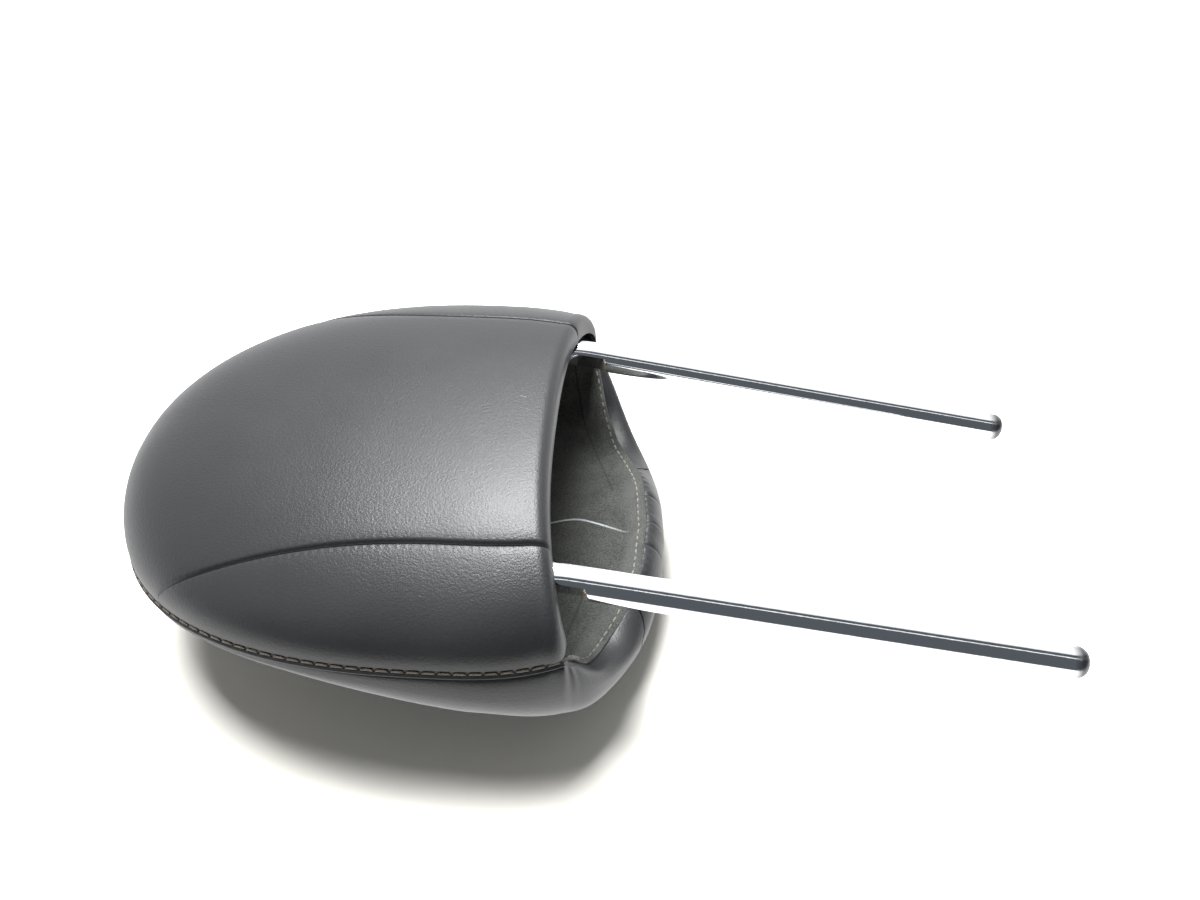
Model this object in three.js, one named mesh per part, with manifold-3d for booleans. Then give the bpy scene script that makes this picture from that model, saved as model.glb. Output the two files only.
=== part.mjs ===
import * as THREE from "three";
import { mergeVertices } from "three/addons/utils/BufferGeometryUtils.js";
import Module from "manifold-3d";

// A car headrest that lies on its front face, in millimetres.
// +X runs from the head end to the tips of the posts, +Y to the wearer's right, +Z up to the rear side.
// While it is built, x = 0 is where the posts leave the cushion and z = 0 is the surface it lies on.

// Post frame
const POST_SPACING = 150;
const POST_DIAMETER = 14;
const POST_EXPOSED = 224.5;
const POST_SLOPE = 10.24;
const POST_EXIT_HEIGHT = 88;
const POST_BEND_X = -10;
const PIVOT_X = -100;
const PIVOT_DROP = 13.5;
const CORNER_BEND = 22;
const DOGLEG_BEND = 14;
const TIP_LENGTH = 5;
const TIP_FLAT_RADIUS = 4;
const NOTCH_START = -8;
const NOTCH_LENGTH = 22;
const NOTCH_RAMP = 7.7;
const NOTCH_DEPTH = 3.2;
const NOTCH_TURN = 25;

// Cushion outline
const HEAD_REACH = 201.4;
const HALF_WIDTH = 114.2;
const WIDEST_X = -48;
const CORNER_X = 6;
const CORNER_NARROWING = 8.4;
const HEAD_ROUND = 0.62;
const PLAN_POWER = 2.28;
const REAR_POWER = 2.26;
const CROWN_RISE = 28.3;
const CROWN_X = -45;
const CROWN_POWER = 3.5;
const CROWN_BEND_HEAD = 0.0004;
const CROWN_BEND_LIP = 0.0008;
const WELT_FALL_X = -50;
const WELT_DROP = 13.2;
const WELT_DROP_HEAD = 11.3;
const REAR_EDGE_X = -5;
const REAR_EDGE_SWEEP = 11;
const EDGE_ROLL = 8;
const EDGE_FACE = 2;
const SEAM_SHARE = 0.665;
const SEAM_POWER = 2.3;
const SEAM_START_X = -46;
const SEAM_JOIN_X = -165;
const SEAM_VALLEY = 1.3;
const SEAM_VALLEY_WIDTH = 4;
const FRONT_SINK = 4.5;
const FRONT_RISE = 68.5;
const FRONT_RISE_POWER = 1.11;
const FRONT_FALL_X = -35;
const HEAD_POWER = 1.35;
const FLANK_POWER = 1.8;
const LIP_POWER = 2.25;
const FLANK_START_X = -175;
const FLANK_END_X = -40;
const SPINE_HEAD = -110;
const SPINE_LIP = -10;

// Rim of the pocket and the widest line of the lip, from the middle to the near corner:
// x, |y| and the drop below the posts' exit
const RIM = [[37, 0, 44], [34, 32, 46], [28, 51, 51.5], [20, 68, 52.5], [14, 84, 44], [9.5, 97, 26]];
const LIP = [[46, 0, 60], [44, 28, 62], [38, 54, 62], [28, 77, 56], [17, 97, 42.5]];
const SIDE_BULGE = 2.6;
const SIDE_DROP = 16;
const HEAD_DROP = 4.6;

// Layers
const LEATHER = 2.5;
const GAP = 0.3;
const REAR_FOAM = 3.2;
const SHELL_WALL = 2.6;
const WELT_RADIUS = 2.2;
const WELT_GROOVE = 2.5;
const WELT_INSET = 0.8;
const WELT_STEPS = 60;
const LINING = 1.5;
const POCKET_DROP = 56;
const POCKET_END_X = -54;
const POCKET_FLAT = 0.76;
const BORDER_START_RIM = 1.735;
const BORDER_START_LIP = 1.567;
const BORDER_ROWS = 30;
const BORDER_UNDER = 1.3;
const BORDER_GAP = 0.02;
const GATHER_RISE = 1.1;
const GATHER_PITCH = 16;
const GATHER_SHIFT = -4;
const GATHER_FADE = 0.3;

// Carrier and tilt hinge
const TRAY_HEAD_X = -130;
const TRAY_POCKET_X = -64;
const TRAY_HALF = 70;
const TRAY_DROP = 40;
const TRAY_WALL = 2.6;
const TRAY_WALL_HEIGHT = 12;
const RIB_WIDTH = 10;
const STOP_LENGTH = 8;
const STOP_BEHIND = 3;
const BUSH_WALL = 2.2;
const BUSH_LENGTH = 16;
const BUSH_Y = 36;
const SADDLE_WIDTH = 34;
const CLIP_WALL = 1.5;
const CLIP_LENGTH = 12;
const CLIP_Y = 15;
const CLIP_GAP = 3;
const CLIP_TAB = 9;
const LUG_REACH = 17;
const LUG_WIDTH = 10;
const LUG_THICK = 6;
const TILT_RANGE = 16;
const SCREW_EDGE_X = 12;
const SCREW_EDGE_Y = 15;
const SCREW_XS = [TRAY_HEAD_X + SCREW_EDGE_X, TRAY_POCKET_X - SCREW_EDGE_X];
const SCREW_SITES = SCREW_XS.map((x) => [x, TRAY_HALF - SCREW_EDGE_Y]);
const SCREW_HEAD_RADIUS = 4.5;
const SCREW_SHANK_RADIUS = 2;
const SCREW_LENGTH = 26;
const SCREW_SINK = 1.2;
const BOSS_RADIUS = 5;

const POST_R = POST_DIAMETER / 2;
const EXIT_Z = POST_EXIT_HEIGHT;
const PIVOT_Z = EXIT_Z - PIVOT_DROP;
const TRAY_Z = EXIT_Z - TRAY_DROP;
const DEGREE = Math.PI / 180;

const wasm = await Module();
wasm.setup();

const material = (color, roughness, metalness = 0) =>
  new THREE.MeshStandardMaterial({ color, roughness, metalness });
const LEATHER_BLACK = material(0x26272a, 0.48);
const LEATHER_THREAD = material(0x3a3734, 0.7);
const FELT_GREY = material(0x4b4b48, 0.95);
const CHROME = material(0xc9ccd0, 0.12, 1);
const ZINC_STEEL = material(0x9a9ca0, 0.35, 1);
const BLACK_PLASTIC = material(0x202124, 0.5);
const NYLON_WHITE = material(0xd9d6cc, 0.45);
const FOAM_GREY = material(0x6d6a66, 0.95);

const lerp = (a, b, t) => a + (b - a) * t;
const clamp = (v, low, high) => Math.min(high, Math.max(low, v));
const smooth = (a, b, v) => THREE.MathUtils.smoothstep(v, a, b);
const powered = (v, p) => Math.sign(v) * Math.abs(v) ** (2 / p);

// Meshes from grids of points
function cleaned(positions, index) {
  const raw = new THREE.BufferGeometry();
  raw.setAttribute("position", new THREE.Float32BufferAttribute(positions, 3));
  raw.setIndex(index);
  const merged = mergeVertices(raw, 1e-3);
  const kept = [];
  const source = merged.index.array;
  for (let i = 0; i < source.length; i += 3) {
    const [a, b, c] = [source[i], source[i + 1], source[i + 2]];
    if (a !== b && b !== c && c !== a) kept.push(a, b, c);
  }
  merged.setIndex(kept);
  return outward(merged);
}

function volumeOf(geometry) {
  const p = geometry.attributes.position;
  const index = geometry.index.array;
  const [a, b, c] = [new THREE.Vector3(), new THREE.Vector3(), new THREE.Vector3()];
  let total = 0;
  for (let i = 0; i < index.length; i += 3) {
    a.fromBufferAttribute(p, index[i]);
    b.fromBufferAttribute(p, index[i + 1]);
    c.fromBufferAttribute(p, index[i + 2]);
    total += a.dot(b.cross(c)) / 6;
  }
  return total;
}

function outward(geometry) {
  if (volumeOf(geometry) < 0) {
    const index = Array.from(geometry.index.array);
    for (let i = 0; i < index.length; i += 3) [index[i + 1], index[i + 2]] = [index[i + 2], index[i + 1]];
    geometry.setIndex(index);
  }
  return geometry;
}

// A closed sheet between two point grids [u][v].
// A ring joins its last row to its first; an open one has no wall at its last column.
function slab(top, bottom, { ring = false, open = false } = {}) {
  const positions = [];
  const index = [];
  const rows = top.length;
  const columns = top[0].length;
  for (const grid of [top, bottom]) for (const row of grid) for (const point of row) positions.push(...point);
  const at = (side, u, v) => side * rows * columns + (u % rows) * columns + v;
  const quad = (a, b, c, d) => index.push(a, b, c, a, c, d);
  const lastRow = ring ? rows : rows - 1;
  for (let u = 0; u < lastRow; u++) {
    for (let v = 0; v < columns - 1; v++) {
      quad(at(0, u, v), at(0, u + 1, v), at(0, u + 1, v + 1), at(0, u, v + 1));
      quad(at(1, u, v), at(1, u, v + 1), at(1, u + 1, v + 1), at(1, u + 1, v));
    }
    quad(at(0, u, 0), at(1, u, 0), at(1, u + 1, 0), at(0, u + 1, 0));
    const end = columns - 1;
    if (!open) quad(at(0, u, end), at(0, u + 1, end), at(1, u + 1, end), at(1, u, end));
  }
  if (!ring) {
    for (let v = 0; v < columns - 1; v++) {
      quad(at(0, 0, v), at(0, 0, v + 1), at(1, 0, v + 1), at(1, 0, v));
      const end = rows - 1;
      quad(at(0, end, v + 1), at(0, end, v), at(1, end, v), at(1, end, v + 1));
    }
  }
  return cleaned(positions, index);
}

const grid = (us, vs, point) => us.map((u) => vs.map((v) => point(u, v)));
const steps = (count, from = 0, to = 1) =>
  Array.from({ length: count + 1 }, (_, i) => lerp(from, to, i / count));

// Cuts and joins
function toSolid(geometry) {
  const plain = geometry.index ? geometry.clone() : geometry;
  plain.deleteAttribute("normal");
  plain.deleteAttribute("uv");
  const merged = mergeVertices(plain, 1e-4);
  const vertProperties = new Float32Array(merged.attributes.position.array);
  const triVerts = new Uint32Array(merged.index.array);
  return new wasm.Manifold(new wasm.Mesh({ numProp: 3, vertProperties, triVerts }));
}

function toGeometry(solid) {
  const mesh = solid.getMesh();
  const geometry = new THREE.BufferGeometry();
  geometry.setAttribute("position", new THREE.BufferAttribute(new Float32Array(mesh.vertProperties), 3));
  geometry.setIndex(Array.from(mesh.triVerts));
  return geometry;
}

const joined = (...geometries) => toGeometry(geometries.map(toSolid).reduce((a, b) => a.add(b)));
const cut = (body, ...tools) => toGeometry(tools.map(toSolid).reduce((a, b) => a.subtract(b), toSolid(body)));

function box([x0, x1], [y0, y1], [z0, z1]) {
  const geometry = new THREE.BoxGeometry(x1 - x0, y1 - y0, z1 - z0);
  return geometry.translate((x0 + x1) / 2, (y0 + y1) / 2, (z0 + z1) / 2);
}

function rodAlongY(radius, y0, y1, x = PIVOT_X, z = PIVOT_Z, sides = 24) {
  return new THREE.CylinderGeometry(radius, radius, y1 - y0, sides).translate(x, (y0 + y1) / 2, z);
}

function rodAlongZ(radius, z0, z1, x, y, sides = 16) {
  const rod = new THREE.CylinderGeometry(radius, radius, z1 - z0, sides);
  return rod.rotateX(Math.PI / 2).translate(x, y, (z0 + z1) / 2);
}

// A path that is sampled at chosen stations only
class StationCurve extends THREE.Curve {
  constructor(stations) {
    super();
    this.stations = stations.map((point) => new THREE.Vector3(...point));
  }

  getPoint(t, target = new THREE.Vector3()) {
    const place = t * (this.stations.length - 1);
    const i = Math.min(this.stations.length - 2, Math.floor(place));
    return target.lerpVectors(this.stations[i], this.stations[i + 1], place - i);
  }

  getPointAt(t, target) {
    return this.getPoint(t, target);
  }

  getTangentAt(t, target = new THREE.Vector3()) {
    const i = Math.round(t * (this.stations.length - 1));
    const before = this.stations[Math.max(0, i - 1)];
    const after = this.stations[Math.min(this.stations.length - 1, i + 1)];
    return target.subVectors(after, before).normalize();
  }
}

function roundBar(stations, radius, sides) {
  const section = new THREE.Shape().absarc(0, 0, radius, 0, 2 * Math.PI);
  return new THREE.ExtrudeGeometry(section, {
    steps: stations.length - 1,
    curveSegments: sides / 2,
    bevelEnabled: false,
    extrudePath: new StationCurve(stations),
  });
}

// Cushion shape: plan half-width, welt height and crown along x, each inset by i
function weltHalf(x, i = 0) {
  if (x > WIDEST_X) return HALF_WIDTH - i - CORNER_NARROWING * ((x - WIDEST_X) / (CORNER_X - WIDEST_X)) ** 3;
  const t = Math.min(1, (WIDEST_X - x) / (HEAD_REACH + WIDEST_X - i));
  return (HALF_WIDTH - i) * (1 - t ** PLAN_POWER) ** (1 / PLAN_POWER);
}

function weltZ(x) {
  const t = clamp((WELT_FALL_X - x) / (HEAD_REACH + WELT_FALL_X), 0, 1);
  return EXIT_Z - WELT_DROP - WELT_DROP_HEAD * t * t;
}

function crownRise(x, i) {
  const bend = x > CROWN_X ? CROWN_BEND_LIP : CROWN_BEND_HEAD;
  const rise = EXIT_Z + CROWN_RISE - bend * (x - CROWN_X) ** 2 - i - weltZ(x) - WELT_GROOVE;
  const t = clamp((CROWN_X - x) / (HEAD_REACH + CROWN_X - i), 0, 1);
  return rise * (1 - t ** CROWN_POWER) ** (1 / CROWN_POWER);
}

function seamShare(x) {
  const t = clamp((SEAM_START_X - x) / (SEAM_START_X - SEAM_JOIN_X), 0, 1);
  return SEAM_SHARE + (1 - SEAM_SHARE) * t ** SEAM_POWER;
}

// Height of the rear surface at a place, inset by i
function rearHeight(x, y, i) {
  const share = 1 - (Math.abs(y) / weltHalf(x, i)) ** REAR_POWER;
  return weltZ(x) + WELT_GROOVE + crownRise(x, i) * share ** (1 / REAR_POWER);
}

const seamTurn = (x) => Math.acos(Math.min(1, seamShare(x) ** (REAR_POWER / 2)));
const CORNER_Y = HALF_WIDTH - CORNER_NARROWING;
const rearEdgeX = (y) => REAR_EDGE_X + REAR_EDGE_SWEEP * (Math.abs(y) / CORNER_Y) ** 2.5;

// A point of the rear surface: x along the cushion, turn from the near welt (0) to the far one (pi)
function rearPoint(x, turn, i, valley = SEAM_VALLEY) {
  const half = weltHalf(x, i);
  const rise = crownRise(x, i);
  const y = -half * powered(Math.cos(turn), REAR_POWER);
  const z = weltZ(x) + WELT_GROOVE + rise * powered(Math.abs(Math.sin(turn)), REAR_POWER);
  const toSeam = Math.abs(y) - half * seamShare(x);
  const fade = smooth(SEAM_JOIN_X, SEAM_JOIN_X + 40, x);
  const dip = valley * fade * Math.exp(-((toSeam / SEAM_VALLEY_WIDTH) ** 2));
  return [x, y, z - dip];
}

// The rear surface with its rolled lower edge; v < 0 goes round the roll and down the edge face
function rearSheet(v, turn, i, valley) {
  const far = -HEAD_REACH + i;
  const probe = rearPoint(0, turn, i, valley);
  const start = rearEdgeX(probe[1]) - EDGE_ROLL;
  if (v >= 0) return rearPoint(lerp(start, far, Math.sin(v * Math.PI / 2)), turn, i, valley);
  const base = rearPoint(start, turn, i, valley);
  const half = weltHalf(start, i);
  const rise = crownRise(start, i);
  const power = REAR_POWER - 1;
  const ny = -Math.sign(Math.cos(turn)) * (Math.abs(Math.cos(turn)) ** (2 / REAR_POWER)) ** power / half;
  const nz = (Math.abs(Math.sin(turn)) ** (2 / REAR_POWER)) ** power / rise;
  const length = Math.hypot(ny, nz);
  const roll = EDGE_ROLL - i;
  const angle = Math.min(1, -v) * Math.PI / 2;
  const inward = roll * (1 - Math.cos(angle)) + Math.max(0, -v - 1) * EDGE_FACE;
  return [base[0] + roll * Math.sin(angle), base[1] - ny / length * inward, base[2] - nz / length * inward];
}

const ROLL_ROWS = [-2, -1, -0.66, -0.33];
const SHELL_COLUMNS = 16;
const SHELL_ROWS = 10;

function rearPanel(turnFrom, turnTo, columns, rows, inset, thickness, valley = SEAM_VALLEY) {
  const layer = (i) => grid(rows, columns, (v, share) => {
    const x = v < 0 ? REAR_EDGE_X : lerp(REAR_EDGE_X - EDGE_ROLL, -HEAD_REACH + i, Math.sin(v * Math.PI / 2));
    return rearSheet(v, lerp(turnFrom(x), turnTo(x), share), i, valley);
  });
  return slab(layer(inset), layer(inset + thickness));
}

// Front cushion: edge line, widest line and spine for each station round the outline
const rimCurve = new THREE.CatmullRomCurve3([
  ...RIM.map(([x, y, drop]) => new THREE.Vector3(x, -y, EXIT_Z - drop)),
  new THREE.Vector3(CORNER_X, -CORNER_Y, weltZ(CORNER_X) - WELT_GROOVE),
]);
const lipCurve = new THREE.CatmullRomCurve3([
  ...LIP.map(([x, y, drop]) => new THREE.Vector3(x, -y, EXIT_Z - drop)),
  new THREE.Vector3(CORNER_X, -(CORNER_Y + SIDE_BULGE), weltZ(CORNER_X) - SIDE_DROP),
]);

// s runs from 0 at the head end, through 1 at the corner, to 2 at the middle of the lip, on the near side
function outline(s) {
  if (s <= 1) {
    const x = s < HEAD_ROUND
      ? WIDEST_X - (HEAD_REACH + WIDEST_X) * Math.cos(s / HEAD_ROUND * Math.PI / 2) ** (2 / PLAN_POWER)
      : lerp(WIDEST_X, CORNER_X, (s - HEAD_ROUND) / (1 - HEAD_ROUND));
    const half = weltHalf(x);
    const z = weltZ(x);
    const swell = smooth(-HEAD_REACH, CORNER_X, x) ** 3;
    const drop = lerp(HEAD_DROP, SIDE_DROP, swell);
    const out = half > 0 ? SIDE_BULGE * swell : 0;
    return { edge: [x, -half, z - WELT_GROOVE], wide: [x, -half - out, z - drop] };
  }
  return { edge: rimCurve.getPoint(2 - s).toArray(), wide: lipCurve.getPoint(2 - s).toArray() };
}

function frontFloor(x) {
  const t = Math.max(0, (FRONT_FALL_X - x) / (HEAD_REACH + FRONT_FALL_X));
  return -FRONT_SINK + FRONT_RISE * t ** FRONT_RISE_POWER;
}

// How full the section under the widest line is: nearly straight at the head end, round at the lip
function frontPower(near, x) {
  const flank = lerp(HEAD_POWER, FLANK_POWER, smooth(FLANK_START_X, FLANK_END_X, x));
  return flank + (LIP_POWER - FLANK_POWER) * smooth(0.75, 1.1, near);
}

function inwards(point, spineX, i) {
  const dx = spineX - point[0];
  const dy = -point[1];
  const length = Math.hypot(dx, dy) || 1;
  return [point[0] + dx / length * i, point[1] + dy / length * i, point[2]];
}

// t from 0 at the edge, 1 at the widest line, to 2 on the spine under the cushion
function frontPoint(s, t, i, recess = 0) {
  const near = s <= 2 ? s : 4 - s;
  const { edge, wide } = outline(near);
  const spineX = clamp(wide[0], SPINE_HEAD, SPINE_LIP);
  const a = inwards(edge, spineX, i + recess);
  const b = inwards(wide, spineX, i + recess);
  const lift = s > 1 && s < 3 ? (i + recess) * smooth(1, 1.2, near) : 0;
  let point;
  if (t <= 1) {
    const turn = t * Math.PI / 2;
    const z = lerp(a[2] - lift, b[2], 1 - Math.cos(turn));
    point = [lerp(a[0], b[0], Math.sin(turn)), lerp(a[1], b[1], Math.sin(turn)), z];
  } else {
    const turn = (t - 1) * Math.PI / 2;
    const power = frontPower(near, wide[0]);
    const share = Math.abs(Math.cos(turn)) ** (2 / power);
    const x = lerp(spineX, b[0], share);
    const floor = frontFloor(spineX) + i + recess;
    const z = lerp(b[2], floor, Math.sin(turn) ** (2 / power));
    point = [x, b[1] * share, Math.max(i + recess, z)];
  }
  if (t >= 2) point[1] = 0;
  return s <= 2 ? point : [point[0], -point[1], point[2]];
}

const NEAR_HALF = [...steps(12, 0, 1), ...steps(9, 1, 2).slice(1, -1)];
const mirrored = [...NEAR_HALF, 2, ...NEAR_HALF.slice(1).reverse().map((s) => 4 - s)];

// Pocket floor and bowl: w is 1 at the edge and 0 on the spine
function bowlPoint(s, w, below, inset = 0) {
  const near = s <= 2 ? s : 4 - s;
  const { edge, wide } = outline(near);
  const spineX = clamp(wide[0], SPINE_HEAD, SPINE_LIP);
  const a = inwards(edge, spineX, inset);
  const x = lerp(spineX, a[0], w);
  const floor = EXIT_Z - lerp(TRAY_DROP + GAP + 0.1, POCKET_DROP, smooth(TRAY_POCKET_X, POCKET_END_X - 4, x));
  const climb = smooth(POCKET_FLAT, 1, w) * w;
  const z = lerp(floor, a[2], climb) - below;
  const y = w === 0 ? 0 : a[1] * w;
  return s <= 2 ? [x, y, z] : [x, -y, z];
}

const BOWL_OVERS = [1, 0.985, 0.94, 0.88, 0.82, POCKET_FLAT, 0.6, 0.4, 0.2, 0];
const FRONT_DOWNS = [0, 0.45, 0.8, 1, 1.15, 1.3, 1.5, 1.66, 1.8, 2];
const REAR_RIM = 9 * DEGREE;
const nearRim = () => REAR_RIM;
const farRim = () => Math.PI - REAR_RIM;
const FOAM_INSET = LEATHER + SEAM_VALLEY + GAP;
const BOWL_INSET = LEATHER + GAP;

const nodes = [];
function add(name, geometry, finish) {
  const mesh = new THREE.Mesh(geometry, finish);
  mesh.name = name;
  nodes.push(mesh);
}

// Post frame: one bent bar with two legs, a cross bar, rounded tips and a locking notch on each leg
function legStations(side) {
  const y = side * POST_SPACING / 2;
  const slope = POST_SLOPE * DEGREE;
  const reach = POST_EXPOSED - TIP_LENGTH;
  const exit = (distance) => [distance * Math.cos(slope), y, EXIT_Z - distance * Math.sin(slope)];
  const knee = exit(POST_BEND_X / Math.cos(slope));
  const toPivot = new THREE.Vector2(PIVOT_X - knee[0], PIVOT_Z - knee[2]).normalize();
  const before = exit((POST_BEND_X + DOGLEG_BEND) / Math.cos(slope));
  const after = [knee[0] + toPivot.x * DOGLEG_BEND, y, knee[2] + toPivot.y * DOGLEG_BEND];
  const curve = new THREE.QuadraticBezierCurve3(
    new THREE.Vector3(...before), new THREE.Vector3(...knee), new THREE.Vector3(...after));
  const corner = new THREE.Vector3(PIVOT_X, y, PIVOT_Z);
  const back = new THREE.Vector3(-toPivot.x, 0, -toPivot.y).multiplyScalar(CORNER_BEND);
  const cornerStart = corner.clone().add(back);
  const cornerEnd = corner.clone().add(new THREE.Vector3(0, -side * CORNER_BEND, 0));
  const cornerCurve = new THREE.QuadraticBezierCurve3(cornerStart, corner, cornerEnd);
  return [
    exit(reach), exit(reach / 2),
    ...curve.getPoints(4).map((p) => p.toArray()),
    ...cornerCurve.getPoints(6).map((p) => p.toArray()),
  ];
}

function postTip(side) {
  const profile = [[0, -6], [POST_R, -6], [POST_R, 0]];
  for (const share of steps(4).slice(1)) {
    const turn = share * Math.PI / 2;
    const radius = TIP_FLAT_RADIUS + (POST_R - TIP_FLAT_RADIUS) * Math.cos(turn);
    profile.push([radius, TIP_LENGTH * Math.sin(turn)]);
  }
  profile.push([0, TIP_LENGTH]);
  const tip = new THREE.LatheGeometry(profile.map(([r, h]) => new THREE.Vector2(r, h)), 20);
  const slope = POST_SLOPE * DEGREE;
  const reach = POST_EXPOSED - TIP_LENGTH;
  tip.rotateZ(-Math.PI / 2).rotateY(slope);
  return tip.translate(reach * Math.cos(slope), side * POST_SPACING / 2, EXIT_Z - reach * Math.sin(slope));
}

function notchTool(side) {
  const length = NOTCH_LENGTH;
  const outline = new THREE.Shape([
    new THREE.Vector2(0, POST_R + 1), new THREE.Vector2(0, POST_R - 0.2),
    new THREE.Vector2(NOTCH_RAMP, POST_R - NOTCH_DEPTH),
    new THREE.Vector2(length, POST_R - NOTCH_DEPTH), new THREE.Vector2(length, POST_R + 1),
  ]);
  const tool = new THREE.ExtrudeGeometry(outline, { depth: POST_DIAMETER, bevelEnabled: false });
  tool.translate(NOTCH_START, 0, -POST_R).rotateX(Math.PI / 2 + NOTCH_TURN * DEGREE + Math.PI / 2);
  tool.rotateY(POST_SLOPE * DEGREE);
  return tool.translate(0, side * POST_SPACING / 2, EXIT_Z);
}

function buildPostFrame() {
  const left = legStations(-1);
  const right = legStations(1).reverse();
  const bar = roundBar([...left, ...right], POST_R, 20);
  add("post_frame", cut(joined(bar, postTip(-1), postTip(1)), notchTool(-1), notchTool(1)), CHROME);
}

function buildHinge() {
  const seat = POST_R + GAP;
  for (const [word, side] of [["left", -1], ["right", 1]]) {
    const middle = side * BUSH_Y;
    const bush = cut(
      rodAlongY(seat + BUSH_WALL, middle - BUSH_LENGTH / 2, middle + BUSH_LENGTH / 2),
      rodAlongY(seat, middle - BUSH_LENGTH, middle + BUSH_LENGTH));
    add(`pivot_bush_${word}`, bush, NYLON_WHITE);

    const at = side * CLIP_Y;
    const ring = cut(
      rodAlongY(seat + CLIP_WALL, at - CLIP_LENGTH / 2, at + CLIP_LENGTH / 2),
      rodAlongY(seat, at - CLIP_LENGTH, at + CLIP_LENGTH),
      box([PIVOT_X - CLIP_GAP, PIVOT_X + CLIP_GAP], [at - CLIP_LENGTH, at + CLIP_LENGTH],
        [PIVOT_Z, PIVOT_Z + 2 * seat]));
    const tabZ = [PIVOT_Z + Math.sqrt(seat ** 2 - CLIP_GAP ** 2) + 0.15, PIVOT_Z + seat + CLIP_TAB];
    const tab = (x0, x1) => box([x0, x1], [at - CLIP_LENGTH / 2, at + CLIP_LENGTH / 2], tabZ);
    add(`friction_clip_${word}`, joined(ring,
      tab(PIVOT_X - CLIP_GAP - CLIP_WALL, PIVOT_X - CLIP_GAP),
      tab(PIVOT_X + CLIP_GAP, PIVOT_X + CLIP_GAP + CLIP_WALL)), ZINC_STEEL);
  }
  const lug = box([PIVOT_X - LUG_REACH, PIVOT_X], [-LUG_WIDTH / 2, LUG_WIDTH / 2],
    [PIVOT_Z - LUG_THICK / 2, PIVOT_Z + LUG_THICK / 2]);
  add("tilt_stop_lug", cut(lug, rodAlongY(seat, -LUG_WIDTH, LUG_WIDTH)), ZINC_STEEL);
}

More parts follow.
